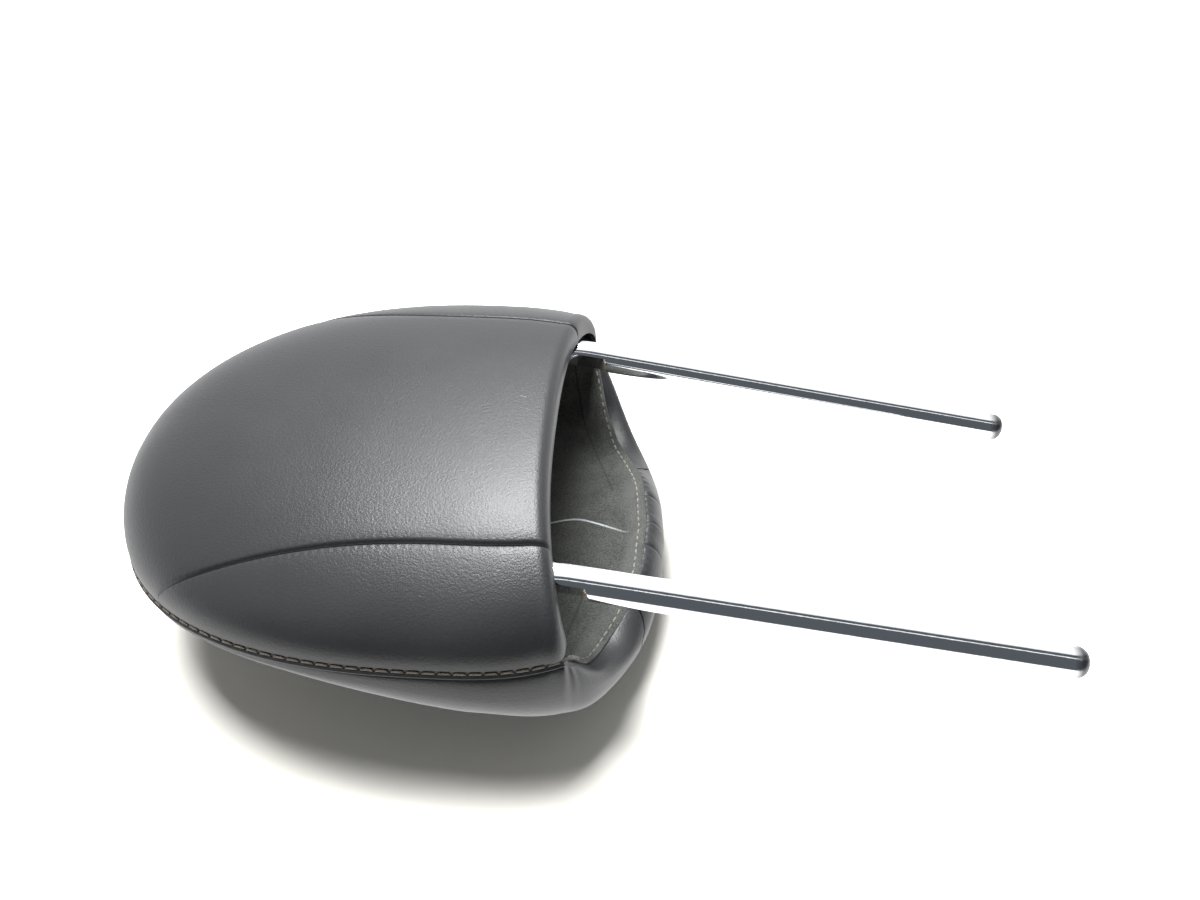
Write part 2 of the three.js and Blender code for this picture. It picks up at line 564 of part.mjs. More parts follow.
function buildCarrier() {
  const shellInset = FOAM_INSET + REAR_FOAM + GAP;
  const shell = rearPanel(nearRim, farRim, steps(SHELL_COLUMNS), steps(SHELL_ROWS), shellInset, SHELL_WALL, 0);
  const seat = POST_R + GAP + BUSH_WALL + GAP;
  const intoShell = (x, y) => rearHeight(x, y, shellInset + SHELL_WALL / 2);
  const parts = [];
  const holes = [];
  for (const side of [-1, 1]) {
    const y = [side * BUSH_Y - RIB_WIDTH / 2, side * BUSH_Y + RIB_WIDTH / 2];
    parts.push(box([PIVOT_X - SADDLE_WIDTH / 2, PIVOT_X + SADDLE_WIDTH / 2], y,
      [PIVOT_Z + GAP / 2, intoShell(PIVOT_X - SADDLE_WIDTH / 2, BUSH_Y)]));
    for (const [x, yy] of SCREW_SITES) {
      const top = intoShell(x - BOSS_RADIUS, yy + BOSS_RADIUS);
      parts.push(rodAlongZ(BOSS_RADIUS, TRAY_Z + TRAY_WALL + GAP, top, x, side * yy));
      holes.push(rodAlongZ(SCREW_SHANK_RADIUS + GAP, TRAY_Z, TRAY_Z + SCREW_LENGTH + GAP, x, side * yy));
    }
  }
  const stopX = [PIVOT_X - LUG_REACH - STOP_BEHIND, PIVOT_X - LUG_REACH - STOP_BEHIND + STOP_LENGTH];
  const stopZ = PIVOT_Z + LUG_REACH * Math.sin(TILT_RANGE * DEGREE) + LUG_THICK / 2 + GAP;
  parts.push(box(stopX, [-LUG_WIDTH, LUG_WIDTH], [stopZ, intoShell(stopX[0], LUG_WIDTH)]));
  holes.push(rodAlongY(seat, -TRAY_HALF, TRAY_HALF));
  add("carrier_rear_shell", cut(joined(shell, ...parts), ...holes), BLACK_PLASTIC);

  const base = box([TRAY_HEAD_X, TRAY_POCKET_X], [-TRAY_HALF, TRAY_HALF], [TRAY_Z, TRAY_Z + TRAY_WALL]);
  const wallZ = [TRAY_Z, TRAY_Z + TRAY_WALL_HEIGHT];
  const walls = [
    box([TRAY_HEAD_X, TRAY_HEAD_X + TRAY_WALL], [-TRAY_HALF, TRAY_HALF], wallZ),
    box([TRAY_HEAD_X, TRAY_POCKET_X], [-TRAY_HALF, -TRAY_HALF + TRAY_WALL], wallZ),
    box([TRAY_HEAD_X, TRAY_POCKET_X], [TRAY_HALF - TRAY_WALL, TRAY_HALF], wallZ),
    box([TRAY_POCKET_X - TRAY_WALL, TRAY_POCKET_X], [-TRAY_HALF, TRAY_HALF], wallZ),
  ];
  const ribs = [-1, 1].map((side) => {
    const y = [side * BUSH_Y - RIB_WIDTH / 2, side * BUSH_Y + RIB_WIDTH / 2];
    return box([PIVOT_X - SADDLE_WIDTH / 2, PIVOT_X + SADDLE_WIDTH / 2], y, [TRAY_Z, PIVOT_Z - GAP / 2]);
  });
  const stop = box(stopX, [-LUG_WIDTH, LUG_WIDTH], [TRAY_Z, PIVOT_Z - LUG_THICK / 2 - GAP]);
  const screwHoles = SCREW_SITES.flatMap(([x, y]) => [-1, 1].map((side) =>
    rodAlongZ(SCREW_SHANK_RADIUS + GAP, TRAY_Z - 1, TRAY_Z + TRAY_WALL + 1, x, side * y)));
  const sinks = SCREW_SITES.flatMap(([x, y]) => [-1, 1].map((side) =>
    rodAlongZ(SCREW_HEAD_RADIUS + GAP, TRAY_Z - 1, TRAY_Z + SCREW_SINK, x, side * y)));
  add("carrier_front_shell", cut(joined(base, ...walls, ...ribs, stop),
    rodAlongY(seat, -TRAY_HALF, TRAY_HALF), ...screwHoles, ...sinks), BLACK_PLASTIC);

  let count = 0;
  for (const [x, y] of SCREW_SITES) {
    for (const side of [-1, 1]) {
      count += 1;
      const head = rodAlongZ(SCREW_HEAD_RADIUS, TRAY_Z, TRAY_Z + SCREW_SINK - GAP, x, side * y);
      const shank = rodAlongZ(SCREW_SHANK_RADIUS, TRAY_Z + GAP, TRAY_Z + SCREW_LENGTH, x, side * y, 12);
      add(`carrier_screw_${count}`, joined(head, shank), ZINC_STEEL);
    }
  }
}

function buildFoam() {
  const pad = rearPanel(nearRim, farRim, steps(SHELL_COLUMNS), steps(SHELL_ROWS), FOAM_INSET, REAR_FOAM, 0);
  add("rear_foam", pad, FOAM_GREY);

  const inset = LEATHER + 2 * GAP;
  const bottom = grid(mirrored, FRONT_DOWNS, (s, t) => frontPoint(s, t, inset));
  const top = grid(mirrored, BOWL_OVERS, (s, w) => bowlPoint(s, w, LINING + 2 * GAP, BOWL_INSET));
  add("front_foam", slab(top, bottom, { ring: true, open: true }), FOAM_GREY);
}

function buildCover() {
  const seamGap = 0.006;
  const start = REAR_EDGE_X - EDGE_ROLL;
  const join = Math.asin((start - SEAM_JOIN_X - 1) / (HEAD_REACH + start)) * 2 / Math.PI;
  const sideRows = [...ROLL_ROWS, ...steps(11, 0, join)];
  const lengthwise = [...sideRows, ...steps(6, join, 1).slice(1)];
  const across = [0, 0.02, 0.05, 0.1, 0.2, 0.3, 0.4, 0.5, 0.6, 0.7, 0.8, 0.9, 0.95, 0.98, 1];
  const centre = rearPanel((x) => seamTurn(x) + seamGap, (x) => Math.PI - seamTurn(x) - seamGap,
    across, lengthwise, 0, LEATHER);
  add("rear_centre_panel", centre, LEATHER_BLACK);

  const sideAcross = [0, 0.15, 0.32, 0.5, 0.68, 0.84, 0.93, 1];
  const nearSeam = (x) => seamTurn(x) - seamGap;
  const farSeam = (x) => Math.PI - nearSeam(x);
  const nearPanel = rearPanel(() => 0, nearSeam, sideAcross, sideRows, 0, LEATHER);
  const farPanel = rearPanel(() => Math.PI, farSeam, sideAcross, sideRows, 0, LEATHER);
  add("rear_side_panel_left", nearPanel, LEATHER_BLACK);
  add("rear_side_panel_right", farPanel, LEATHER_BLACK);

  const whole = slab(
    grid(mirrored, FRONT_DOWNS, (s, t) => frontPoint(s, t, 0)),
    grid(mirrored, FRONT_DOWNS, (s, t) => frontPoint(s, t, LEATHER)),
    { ring: true, open: true });
  const borderPlace = (share, t, gap = 0) =>
    2 + share * (2 - lerp(BORDER_START_RIM, BORDER_START_LIP, clamp(t, 0, 1)) + gap);
  const strip = steps(BORDER_ROWS, -1, 1);
  const through = [-0.3, ...FRONT_DOWNS.filter((t) => t <= BORDER_UNDER)];
  const opening = slab(
    grid(strip, through, (q, t) => frontPoint(borderPlace(q, t, BORDER_GAP), t, -GATHER_RISE - 2)),
    grid(strip, through, (q, t) => frontPoint(borderPlace(q, t, BORDER_GAP), t, 2 * LEATHER)));
  add("front_cover", cut(whole, opening), LEATHER_BLACK);

  const downs = [0, 0.25, 0.5, 0.75, 1, 1.14, BORDER_UNDER - BORDER_GAP];
  const gathered = (q, t) => {
    const s = borderPlace(q, t);
    const [, y] = frontPoint(s, t, 0);
    const wave = 0.5 + 0.5 * Math.cos((y - GATHER_SHIFT) / GATHER_PITCH * 2 * Math.PI);
    const ends = smooth(0, GATHER_FADE, 1 - Math.abs(q));
    return frontPoint(s, t, -GATHER_RISE * wave * ends * Math.sin(clamp(t, 0, 1) * Math.PI * 0.75));
  };
  add("lip_border", slab(grid(strip, downs, gathered),
    grid(strip, downs, (q, t) => frontPoint(borderPlace(q, t), t, LEATHER))), LEATHER_BLACK);

  const weltStations = steps(WELT_STEPS, 0, 2).map((s) => {
    const near = s <= 1 ? 1 - s : s - 1;
    const { edge } = outline(near);
    const side = s <= 1 ? 1 : -1;
    const [x, y] = inwards(edge, clamp(edge[0], SPINE_HEAD, SPINE_LIP), WELT_INSET);
    return [x, side * y, edge[2] + WELT_GROOVE];
  });
  add("main_welt", roundBar(weltStations, WELT_RADIUS, 8), LEATHER_THREAD);
}

function buildPocketLining() {
  const around = NEAR_HALF.filter((s) => outline(s).edge[0] > POCKET_END_X);
  const both = [...around, 2, ...around.slice().reverse().map((s) => 4 - s)];
  const overs = BOWL_OVERS.slice(1);
  add("pocket_lining", slab(
    grid(both, overs, (s, w) => bowlPoint(s, w, 0, BOWL_INSET)),
    grid(both, overs, (s, w) => bowlPoint(s, w, LINING, BOWL_INSET)),
    { open: true }), FELT_GREY);
}

buildPostFrame();
buildHinge();
buildCarrier();
buildFoam();
buildCover();
buildPocketLining();

const headrest = new THREE.Group();
headrest.name = "headrest";
for (const mesh of nodes) headrest.add(mesh);
const bounds = new THREE.Box3().setFromObject(headrest);
headrest.position.set(-(bounds.min.x + bounds.max.x) / 2, -(bounds.min.y + bounds.max.y) / 2, -bounds.min.z);

export default headrest;
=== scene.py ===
# %% [markdown]
# # A black leather car headrest
#
# The headrest lies on its front side, as somebody would lay it down after pulling it out of a seat.
# We see its rear side: a centre panel and two side panels of leather, a topstitched seam all round,
# the front cushion under it, a felt-lined pocket at the lower end, and two chromed posts.
#
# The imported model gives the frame: every piece of ours is built in the same place as the solid that
# it stands for. Lengths are in millimetres in the shape functions and become metres in the meshes.

import math

import bmesh
import bpy
import numpy as np
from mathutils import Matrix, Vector


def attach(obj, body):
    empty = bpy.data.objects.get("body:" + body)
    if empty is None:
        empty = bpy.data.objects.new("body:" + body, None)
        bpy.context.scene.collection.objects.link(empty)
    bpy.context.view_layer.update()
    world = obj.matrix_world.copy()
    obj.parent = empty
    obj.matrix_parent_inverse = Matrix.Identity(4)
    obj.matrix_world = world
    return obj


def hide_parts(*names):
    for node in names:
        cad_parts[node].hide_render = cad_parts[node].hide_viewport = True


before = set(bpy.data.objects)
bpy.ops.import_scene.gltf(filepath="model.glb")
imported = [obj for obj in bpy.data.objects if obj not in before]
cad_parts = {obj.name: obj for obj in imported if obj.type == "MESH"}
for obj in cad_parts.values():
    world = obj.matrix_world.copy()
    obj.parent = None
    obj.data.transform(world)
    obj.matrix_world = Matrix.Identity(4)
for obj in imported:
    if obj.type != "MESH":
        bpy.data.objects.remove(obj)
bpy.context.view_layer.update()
print("nodes:", len(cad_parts))

# %% [markdown]
# ## The camera
#
# The camera comes first, because every later choice of detail depends on what it sees. The photograph
# was taken from above the near side, about 42 degrees down, with a short lens. A 30 mm lens on a
# 36 mm wide sensor gives the same spread of the two posts.

# %% Camera
camera_data = bpy.data.cameras.new("camera")
camera_data.lens = 30
camera_data.sensor_width = 36
camera_data.clip_start = 0.01
camera = bpy.data.objects.new("camera", camera_data)
camera.location = (0.02333, -0.33514, 0.39496)
camera.rotation_euler = (math.radians(90 - 42.24), 0, math.radians(3.16))
bpy.context.scene.collection.objects.link(camera)
bpy.context.scene.camera = camera
bpy.context.scene.view_settings.view_transform = "Standard"

# %% [markdown]
# ## The cushion's measures
#
# A designer would keep these in a table. The long way of the cushion is x, with 0 where the posts
# come out, negative towards the head end; FRAME_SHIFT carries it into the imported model's frame. The
# welt is the seam that runs round the widest line. The rear side rises from it like a low dome, and
# the front side hangs below it like a bowl. RIM and LIP are places along the pocket's mouth: x, the
# way out from the middle, and the depth under the posts' exit.

# %% Measures in millimetres
EXIT_Z = 88.0
HEAD_REACH, HALF_WIDTH, WIDEST_X = 201.4, 114.2, -48.0
CORNER_X, CORNER_NARROWING, HEAD_ROUND = 6.0, 8.4, 0.62
PLAN_POWER, REAR_POWER = 2.28, 2.26
CROWN_RISE, CROWN_X, CROWN_POWER = 28.3, -45.0, 3.5
CROWN_BEND_HEAD, CROWN_BEND_LIP = 0.0004, 0.0008
WELT_DROP, WELT_DROP_HEAD, WELT_FALL_X, WELT_GROOVE = 13.2, 11.3, -50.0, 2.5
REAR_EDGE_X, REAR_EDGE_SWEEP, EDGE_ROLL, EDGE_FACE, ROLL_POWER = -5.0, 11.0, 8.0, 2.0, 2.6
SEAM_SHARE, SEAM_POWER, SEAM_START_X, SEAM_JOIN_X = 0.665, 2.3, -46.0, -165.0
FRONT_SINK, FRONT_RISE, FRONT_RISE_POWER, FRONT_FALL_X = 4.5, 68.5, 1.11, -35.0
HEAD_POWER, FLANK_POWER, LIP_POWER = 1.35, 1.8, 2.25
FLANK_START_X, FLANK_END_X = -175.0, -40.0
SPINE_HEAD, SPINE_LIP = -110.0, -10.0
SIDE_BULGE, SIDE_DROP, HEAD_DROP = 2.6, 16.0, 4.6
LEATHER, LINING, GAP = 2.5, 1.5, 0.3
POCKET_DROP, POCKET_FLAT, POCKET_END_X = 56.0, 0.76, -54.0
TRAY_DROP, TRAY_CLEARANCE, TRAY_POCKET_X = 40.0, 0.4, -64.0
FRAME_SHIFT = -9.4221
RIM = [[37, 0, 44], [34, 32, 46], [28, 51, 51.5], [20, 68, 52.5], [14, 84, 44], [9.5, 97, 26]]
LIP = [[46, 0, 60], [44, 28, 62], [38, 54, 62], [28, 77, 56], [17, 97, 42.5]]


def smooth(a, b, v):
    """0 below a, 1 above b and a soft step between them."""
    t = np.clip((v - a) / (b - a), 0, 1)
    return t * t * (3 - 2 * t)


def powered(v, power):
    """A circle's sine or cosine bent to a fuller, squarer curve."""
    return np.sign(v) * np.abs(v) ** (2 / power)


# %% [markdown]
# ## The rear side as a surface
#
# Seen along x, the rear side is half of a "superellipse": an ellipse with fuller shoulders, which is
# how foam under stretched leather looks. Its half-width comes from the plan outline, and its height
# from the crown line. One function gives both, so panels, seams and stitches can share it.

# %% Rear surface
def welt_half(x, inset=0.0):
    """Half-width of the cushion at the welt."""
    x = np.asarray(x, float)
    towards_head = np.clip((WIDEST_X - x) / (HEAD_REACH + WIDEST_X - inset), 0, 1)
    head = (HALF_WIDTH - inset) * (1 - towards_head**PLAN_POWER) ** (1 / PLAN_POWER)
    lower = HALF_WIDTH - inset - CORNER_NARROWING * np.abs((x - WIDEST_X) / (CORNER_X - WIDEST_X)) ** 3
    return np.where(x > WIDEST_X, lower, head)


def welt_z(x):
    """Height of the welt, which drops a little towards the head end."""
    fall = np.clip((WELT_FALL_X - x) / (HEAD_REACH + WELT_FALL_X), 0, 1)
    return EXIT_Z - WELT_DROP - WELT_DROP_HEAD * fall**2


def crown_rise(x, inset=0.0):
    """How far the crown line stands above the welt."""
    bend = np.where(x > CROWN_X, CROWN_BEND_LIP, CROWN_BEND_HEAD)
    rise = EXIT_Z + CROWN_RISE - bend * (x - CROWN_X) ** 2 - inset - welt_z(x) - WELT_GROOVE
    t = np.clip((CROWN_X - x) / (HEAD_REACH + CROWN_X - inset), 0, 1)
    return rise * (1 - t**CROWN_POWER) ** (1 / CROWN_POWER)


def seam_share(x):
    """Where the panel seam runs, as a share of the half-width."""
    t = np.clip((SEAM_START_X - x) / (SEAM_START_X - SEAM_JOIN_X), 0, 1)
    return SEAM_SHARE + (1 - SEAM_SHARE) * t**SEAM_POWER


def seam_turn(x):
    """The same place as a turn round the superellipse."""
    return np.arccos(np.minimum(1, seam_share(x) ** (REAR_POWER / 2)))


def rear_point(x, turn, inset=0.0):
    """A place on the plain rear surface: turn is 0 at the near welt and pi at the far one."""
    y = -welt_half(x, inset) * powered(np.cos(turn), REAR_POWER)
    z = welt_z(x) + WELT_GROOVE + crown_rise(x, inset) * powered(np.abs(np.sin(turn)), REAR_POWER)
    return np.stack(np.broadcast_arrays(x, y, z), -1)


def rear_edge_x(turn):
    """Where the rolled lower edge ends; it sweeps back towards the corners."""
    y = rear_point(np.zeros_like(turn), turn)[..., 1]
    return REAR_EDGE_X + REAR_EDGE_SWEEP * (np.abs(y) / (HALF_WIDTH - CORNER_NARROWING)) ** 2.5


def rear_sheet(v, turn, inset=0.0):
    """The rear surface with its rolled edge; v below 0 goes round the roll and down its face."""
    start = rear_edge_x(turn) - EDGE_ROLL
    along = np.sin(np.clip(v, 0, 1) * np.pi / 2)
    x = start + (-HEAD_REACH + inset - start) * along
    flat = rear_point(x, turn, inset)
    power = REAR_POWER - 1
    half, rise = welt_half(start, inset), crown_rise(start, inset)
    ny = -np.sign(np.cos(turn)) * (np.abs(np.cos(turn)) ** (2 / REAR_POWER)) ** power / half
    nz = (np.abs(np.sin(turn)) ** (2 / REAR_POWER)) ** power / rise
    length = np.hypot(ny, nz)
    roll = EDGE_ROLL - inset
    angle = np.clip(-v, 0, 1) * np.pi / 2
    inward = roll * (1 - powered(np.cos(angle), ROLL_POWER)) + np.maximum(0, -v - 1) * EDGE_FACE
    flat[..., 0] += roll * powered(np.sin(angle), ROLL_POWER)
    flat[..., 1] -= ny / length * inward
    flat[..., 2] -= nz / length * inward
    return flat


print("welt half-width at the widest place:", float(welt_half(WIDEST_X)), "mm")

# %% [markdown]
# ## The front cushion and the pocket as surfaces
#
# The front cushion is described from above, along its outline: s is 0 at the head end, 1 at the near
# lower corner and 2 at the middle of the lip, and it goes on to 4 round the far side. From each place
# on the outline, t goes down: 0 at the edge, 1 at the widest line and 2 under the cushion. The
# pocket's floor starts from the same edge, so the felt always meets the leather.

# %% Front surface
def through(points, places):
    """A smooth line through points, sampled at places from 0 to 1 (Catmull-Rom, as in the frame)."""
    points = np.array(points, float)
    ends = np.vstack([2 * points[0] - points[1], points, 2 * points[-1] - points[-2]])
    where = np.clip(places, 0, 1) * (len(points) - 1)
    i = np.minimum(where.astype(int), len(points) - 2)
    t = (where - i)[..., None]
    p0, p1, p2, p3 = ends[i], ends[i + 1], ends[i + 2], ends[i + 3]
    d01 = np.sqrt(np.linalg.norm(p1 - p0, axis=-1, keepdims=True))
    d12 = np.sqrt(np.linalg.norm(p2 - p1, axis=-1, keepdims=True))
    d23 = np.sqrt(np.linalg.norm(p3 - p2, axis=-1, keepdims=True))
    m1 = ((p1 - p0) / d01 - (p2 - p0) / (d01 + d12) + (p2 - p1) / d12) * d12
    m2 = ((p2 - p1) / d12 - (p3 - p1) / (d12 + d23) + (p3 - p2) / d23) * d12
    c2 = -3 * p1 + 3 * p2 - 2 * m1 - m2
    c3 = 2 * p1 - 2 * p2 + m1 + m2
    return p1 + m1 * t + c2 * t**2 + c3 * t**3


corner_y = -(HALF_WIDTH - CORNER_NARROWING)
corner_z = float(welt_z(CORNER_X))
RIM_LINE = [[x, -y, EXIT_Z - d] for x, y, d in RIM] + [[CORNER_X, corner_y, corner_z - WELT_GROOVE]]
LIP_LINE = [[x, -y, EXIT_Z - d] for x, y, d in LIP]
LIP_LINE.append([CORNER_X, corner_y - SIDE_BULGE, corner_z - SIDE_DROP])


def outline(s):
    """The edge and the widest line at places s from 0 to 2, on the near side."""
    s = np.asarray(s, float)
    turn = np.clip(s / HEAD_ROUND, 0, 1) * np.pi / 2
    head = WIDEST_X - (HEAD_REACH + WIDEST_X) * np.cos(turn) ** (2 / PLAN_POWER)
    side = WIDEST_X + (CORNER_X - WIDEST_X) * (s - HEAD_ROUND) / (1 - HEAD_ROUND)
    x = np.where(s < HEAD_ROUND, head, np.minimum(side, CORNER_X))
    half, z = welt_half(x), welt_z(x)
    swell = smooth(-HEAD_REACH, CORNER_X, x) ** 3
    edge = np.stack([x, -half, z - WELT_GROOVE], -1)
    wide_z = z - (HEAD_DROP + (SIDE_DROP - HEAD_DROP) * swell)
    wide = np.stack([x, -half - SIDE_BULGE * swell, wide_z], -1)
    lower = (s > 1)[..., None]
    edge = np.where(lower, through(RIM_LINE, 2 - s), edge)
    wide = np.where(lower, through(LIP_LINE, 2 - s), wide)
    return edge, wide


def to_near(s):
    """The place on the near side that s mirrors, or s itself where it is there already."""
    return np.where(s <= 2, s, 4 - s)


def spine(outer):
    """The x on the cushion's middle line that points of the outline are drawn in towards."""
    return np.clip(outer[..., 0], SPINE_HEAD, SPINE_LIP)


def front_power(near, x):
    """How full the section under the widest line is: nearly straight at the head, round at the lip."""
    flank = HEAD_POWER + (FLANK_POWER - HEAD_POWER) * smooth(FLANK_START_X, FLANK_END_X, x)
    return flank + (LIP_POWER - FLANK_POWER) * smooth(0.75, 1.1, near)


def inwards(point, spine_x, inset):
    """Moves a point of the outline towards the line under the cushion's middle."""
    dx, dy = spine_x - point[..., 0], -point[..., 1]
    length = np.maximum(np.hypot(dx, dy), 1e-9)
    moved = point.copy()
    moved[..., 0] += dx / length * inset
    moved[..., 1] += dy / length * inset
    return moved


def front_point(s, t, inset=0.0):
    """A place on the front cushion, for arrays s and t of one shape."""
    s, t = np.broadcast_arrays(np.asarray(s, float), np.asarray(t, float))
    near = to_near(s)
    edge, wide = outline(near)
    spine_x = spine(wide)
    inset = np.broadcast_to(np.asarray(inset, float), s.shape)
    a, b = inwards(edge, spine_x, inset), inwards(wide, spine_x, inset)
    lift = inset * smooth(1, 1.2, near)
    first = np.clip(t, 0, 1) * np.pi / 2
    sin1, cos1 = np.sin(first), np.cos(first)
    upper_z = (a[..., 2] - lift) * cos1 + b[..., 2] * (1 - cos1)
    upper = a + (b - a) * sin1[..., None]
    upper[..., 2] = upper_z
    second = np.clip(t - 1, 0, 1) * np.pi / 2
    power = front_power(near, wide[..., 0])
    share = np.abs(np.cos(second)) ** (2 / power)
    rise = np.clip((FRONT_FALL_X - spine_x) / (HEAD_REACH + FRONT_FALL_X), 0, None)
    floor = -FRONT_SINK + FRONT_RISE * rise**FRONT_RISE_POWER + inset
    z = b[..., 2] + (floor - b[..., 2]) * np.sin(second) ** (2 / power)
    under = np.stack([spine_x + (b[..., 0] - spine_x) * share, b[..., 1] * share, np.maximum(z, inset)], -1)
    point = np.where((t <= 1)[..., None], upper, under)
    point[..., 1] = np.where(t >= 2, 0, point[..., 1])
    point[..., 1] *= np.where(s <= 2, 1, -1)
    return point


def bowl_point(s, w, below=0.0, inset=LEATHER + GAP):
    """A place in the pocket's bowl: w is 1 at the edge and 0 on the middle line."""
    s, w = np.broadcast_arrays(np.asarray(s, float), np.asarray(w, float))
    near = to_near(s)
    edge, wide = outline(near)
    spine_x = spine(wide)
    a = inwards(edge, spine_x, inset)
    x = spine_x + (a[..., 0] - spine_x) * w
    drop = TRAY_DROP + TRAY_CLEARANCE
    floor = EXIT_Z - (drop + (POCKET_DROP - drop) * smooth(TRAY_POCKET_X, POCKET_END_X - 4, x))
    climb = smooth(POCKET_FLAT, 1, w) * w
    z = floor + (a[..., 2] - floor) * climb - below
    y = a[..., 1] * w * np.where(s <= 2, 1, -1)
    return np.stack([x, y, z], -1)


print("lip reaches to x =", round(float(front_point(2.0, 1.0)[0]), 1), "mm")

# %% [markdown]
# ## From surfaces to meshes
#
# Leather and felt have a thickness, so each piece is a closed sheet: an outer grid of points, an
# inner one, and walls where the sheet ends. A mask can leave cells out, which is how the front cover
# gets its opening for the gathered border. Meshes are smooth-shaded, and edges sharper than 50
# degrees stay crisp.

# %% Mesh helpers
def to_object(name, points, faces, sharp=50):
    """A smooth-shaded object from points in millimetres and faces."""
    points = np.asarray(points, float).reshape(-1, 3)
    mesh = bpy.data.meshes.new(name)
    mesh.from_pydata(((points + [FRAME_SHIFT, 0, 0]) / 1000).tolist(), [], faces)
    work = bmesh.new()
    work.from_mesh(mesh)
    bmesh.ops.remove_doubles(work, verts=work.verts, dist=2e-6)
    bmesh.ops.recalc_face_normals(work, faces=work.faces)
    work.to_mesh(mesh)
    work.free()
    mesh.shade_smooth()
    mesh.set_sharp_from_angle(angle=math.radians(sharp))
    piece = bpy.data.objects.new(name, mesh)
    bpy.context.scene.collection.objects.link(piece)
    return piece


def closed_sheet(name, outer, inner, keep=None, ring=False):
    """A sheet with thickness between two grids [row][column]; keep says which cells exist."""
    rows, columns = outer.shape[:2]
    cells_u = rows if ring else rows - 1
    keep = np.ones((cells_u, columns - 1), bool) if keep is None else keep
    faces = []
    count = rows * columns

    def at(side, u, v):
        return side * count + (u % rows) * columns + v

    for u, v in np.argwhere(keep).tolist():
        faces.append((at(0, u, v), at(0, u + 1, v), at(0, u + 1, v + 1), at(0, u, v + 1)))
        faces.append((at(1, u, v + 1), at(1, u + 1, v + 1), at(1, u + 1, v), at(1, u, v)))
        before = keep[u - 1, v] if (u > 0 or ring) else False
        after = keep[(u + 1) % cells_u, v] if (u + 1 < cells_u or ring) else False
        if not before:
            faces.append((at(0, u, v), at(0, u, v + 1), at(1, u, v + 1), at(1, u, v)))
        if not after:
            faces.append((at(0, u + 1, v + 1), at(0, u + 1, v), at(1, u + 1, v), at(1, u + 1, v + 1)))
        if v == 0 or not keep[u, v - 1]:
            faces.append((at(0, u + 1, v), at(0, u, v), at(1, u, v), at(1, u + 1, v)))
        end = v + 1 == columns - 1
        closes = end and np.allclose(outer[u, -1, 1], 0) and ring
        if (end and not closes) or (not end and not keep[u, v + 1]):
            faces.append((at(0, u, v + 1), at(0, u + 1, v + 1), at(1, u + 1, v + 1), at(1, u, v + 1)))
    piece = to_object(name, np.concatenate([outer.reshape(-1, 3), inner.reshape(-1, 3)]), faces)
    print(name, "faces:", len(piece.data.polygons))
    return piece


def unit(v):
    """Vectors made one long, along the last axis."""
    return v / np.linalg.norm(v, axis=-1, keepdims=True)


def tube_faces(rings, sides):
    """Faces of a tube with flat ends, for rings of points that follow each other."""
    faces = []
    for start in range(0, (rings - 1) * sides, sides):
        for v in range(sides):
            w = (v + 1) % sides
            faces.append((start + v, start + sides + v, start + sides + w, start + w))
    return faces + [tuple(range(sides)), tuple((rings - 1) * sides + v for v in reversed(range(sides)))]


def swept(name, path, profile):
    """A profile of (out, up) points carried along a path of points."""
    tangent = unit(np.gradient(path, axis=0))
    side = unit(np.cross(tangent, [0, 0, 1.0]))
    up = np.cross(side, tangent)
    profile = np.array(profile, float)[None]
    points = path[:, None] + side[:, None] * profile[..., :1] + up[:, None] * profile[..., 1:]
    return to_object(name, points, tube_faces(*points.shape[:2]))


def dress(piece, body, material, *nodes, slot=None):
    """Gives a piece its finish, lets it ride on a body and hides the solids that it stands for."""
    piece.data.materials.clear()
    piece.data.materials.append(material)
    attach(piece, body)
    if nodes:
        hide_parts(*nodes)


# %% [markdown]
# ## Colours and nodes
#
# Colours are written the way a paint program shows them and turned to linear light by one function.
# One small function adds a shader node, and the others wrap the nodes that come back again and again:
# arithmetic, a range, a mix of colours, noise and a bump.

# %% Colour and node helpers
def colour(hex_code, strength=1.0):
    """A linear RGBA colour from an sRGB hex code."""
    channels = [int(hex_code[i:i + 2], 16) / 255 for i in (1, 3, 5)]
    linear = [c / 12.92 if c <= 0.04045 else ((c + 0.055) / 1.055) ** 2.4 for c in channels]
    return (*[c * strength for c in linear], 1.0)


def set_inputs(tree, node, inputs):
    """Sets a node's inputs by name or number: sockets are linked, values are written in."""
    for key, value in inputs.items():
        if isinstance(value, bpy.types.NodeSocket):
            tree.links.new(value, node.inputs[key])
        else:
            node.inputs[key].default_value = value


def add_node(tree, kind, inputs=None, **settings):
    """Adds a node with its inputs; settings are the node's own properties."""
    node = tree.nodes.new(kind)
    for key, value in settings.items():
        setattr(node, key, value)
    set_inputs(tree, node, inputs or {})
    return node


def maths(tree, operation, *values):
    """One arithmetic node; values are numbers or sockets."""
    return add_node(tree, "ShaderNodeMath", dict(enumerate(values)), operation=operation).outputs[0]


def ramp(tree, value, low, high, to_low=0.0, to_high=1.0):
    """Carries a value from one range over to another and stops at its ends."""
    ends = {"From Min": low, "From Max": high, "To Min": to_low, "To Max": to_high}
    return add_node(tree, "ShaderNodeMapRange", {"Value": value, **ends}).outputs["Result"]


def blend(tree, factor, a, b):
    """A colour between a and b, each a colour or a socket."""
    node = add_node(tree, "ShaderNodeMix", {"Factor": factor, "A": a, "B": b}, data_type="RGBA")
    return node.outputs["Result"]


def scaled(tree, place, factors):
    """A place with its x, y and z multiplied."""
    return add_node(tree, "ShaderNodeVectorMath", {0: place, 1: factors}, operation="MULTIPLY").outputs[0]


def split(tree, place):
    """A place's x, y and z."""
    parts = add_node(tree, "ShaderNodeSeparateXYZ", {0: place}).outputs
    return parts["X"], parts["Y"], parts["Z"]


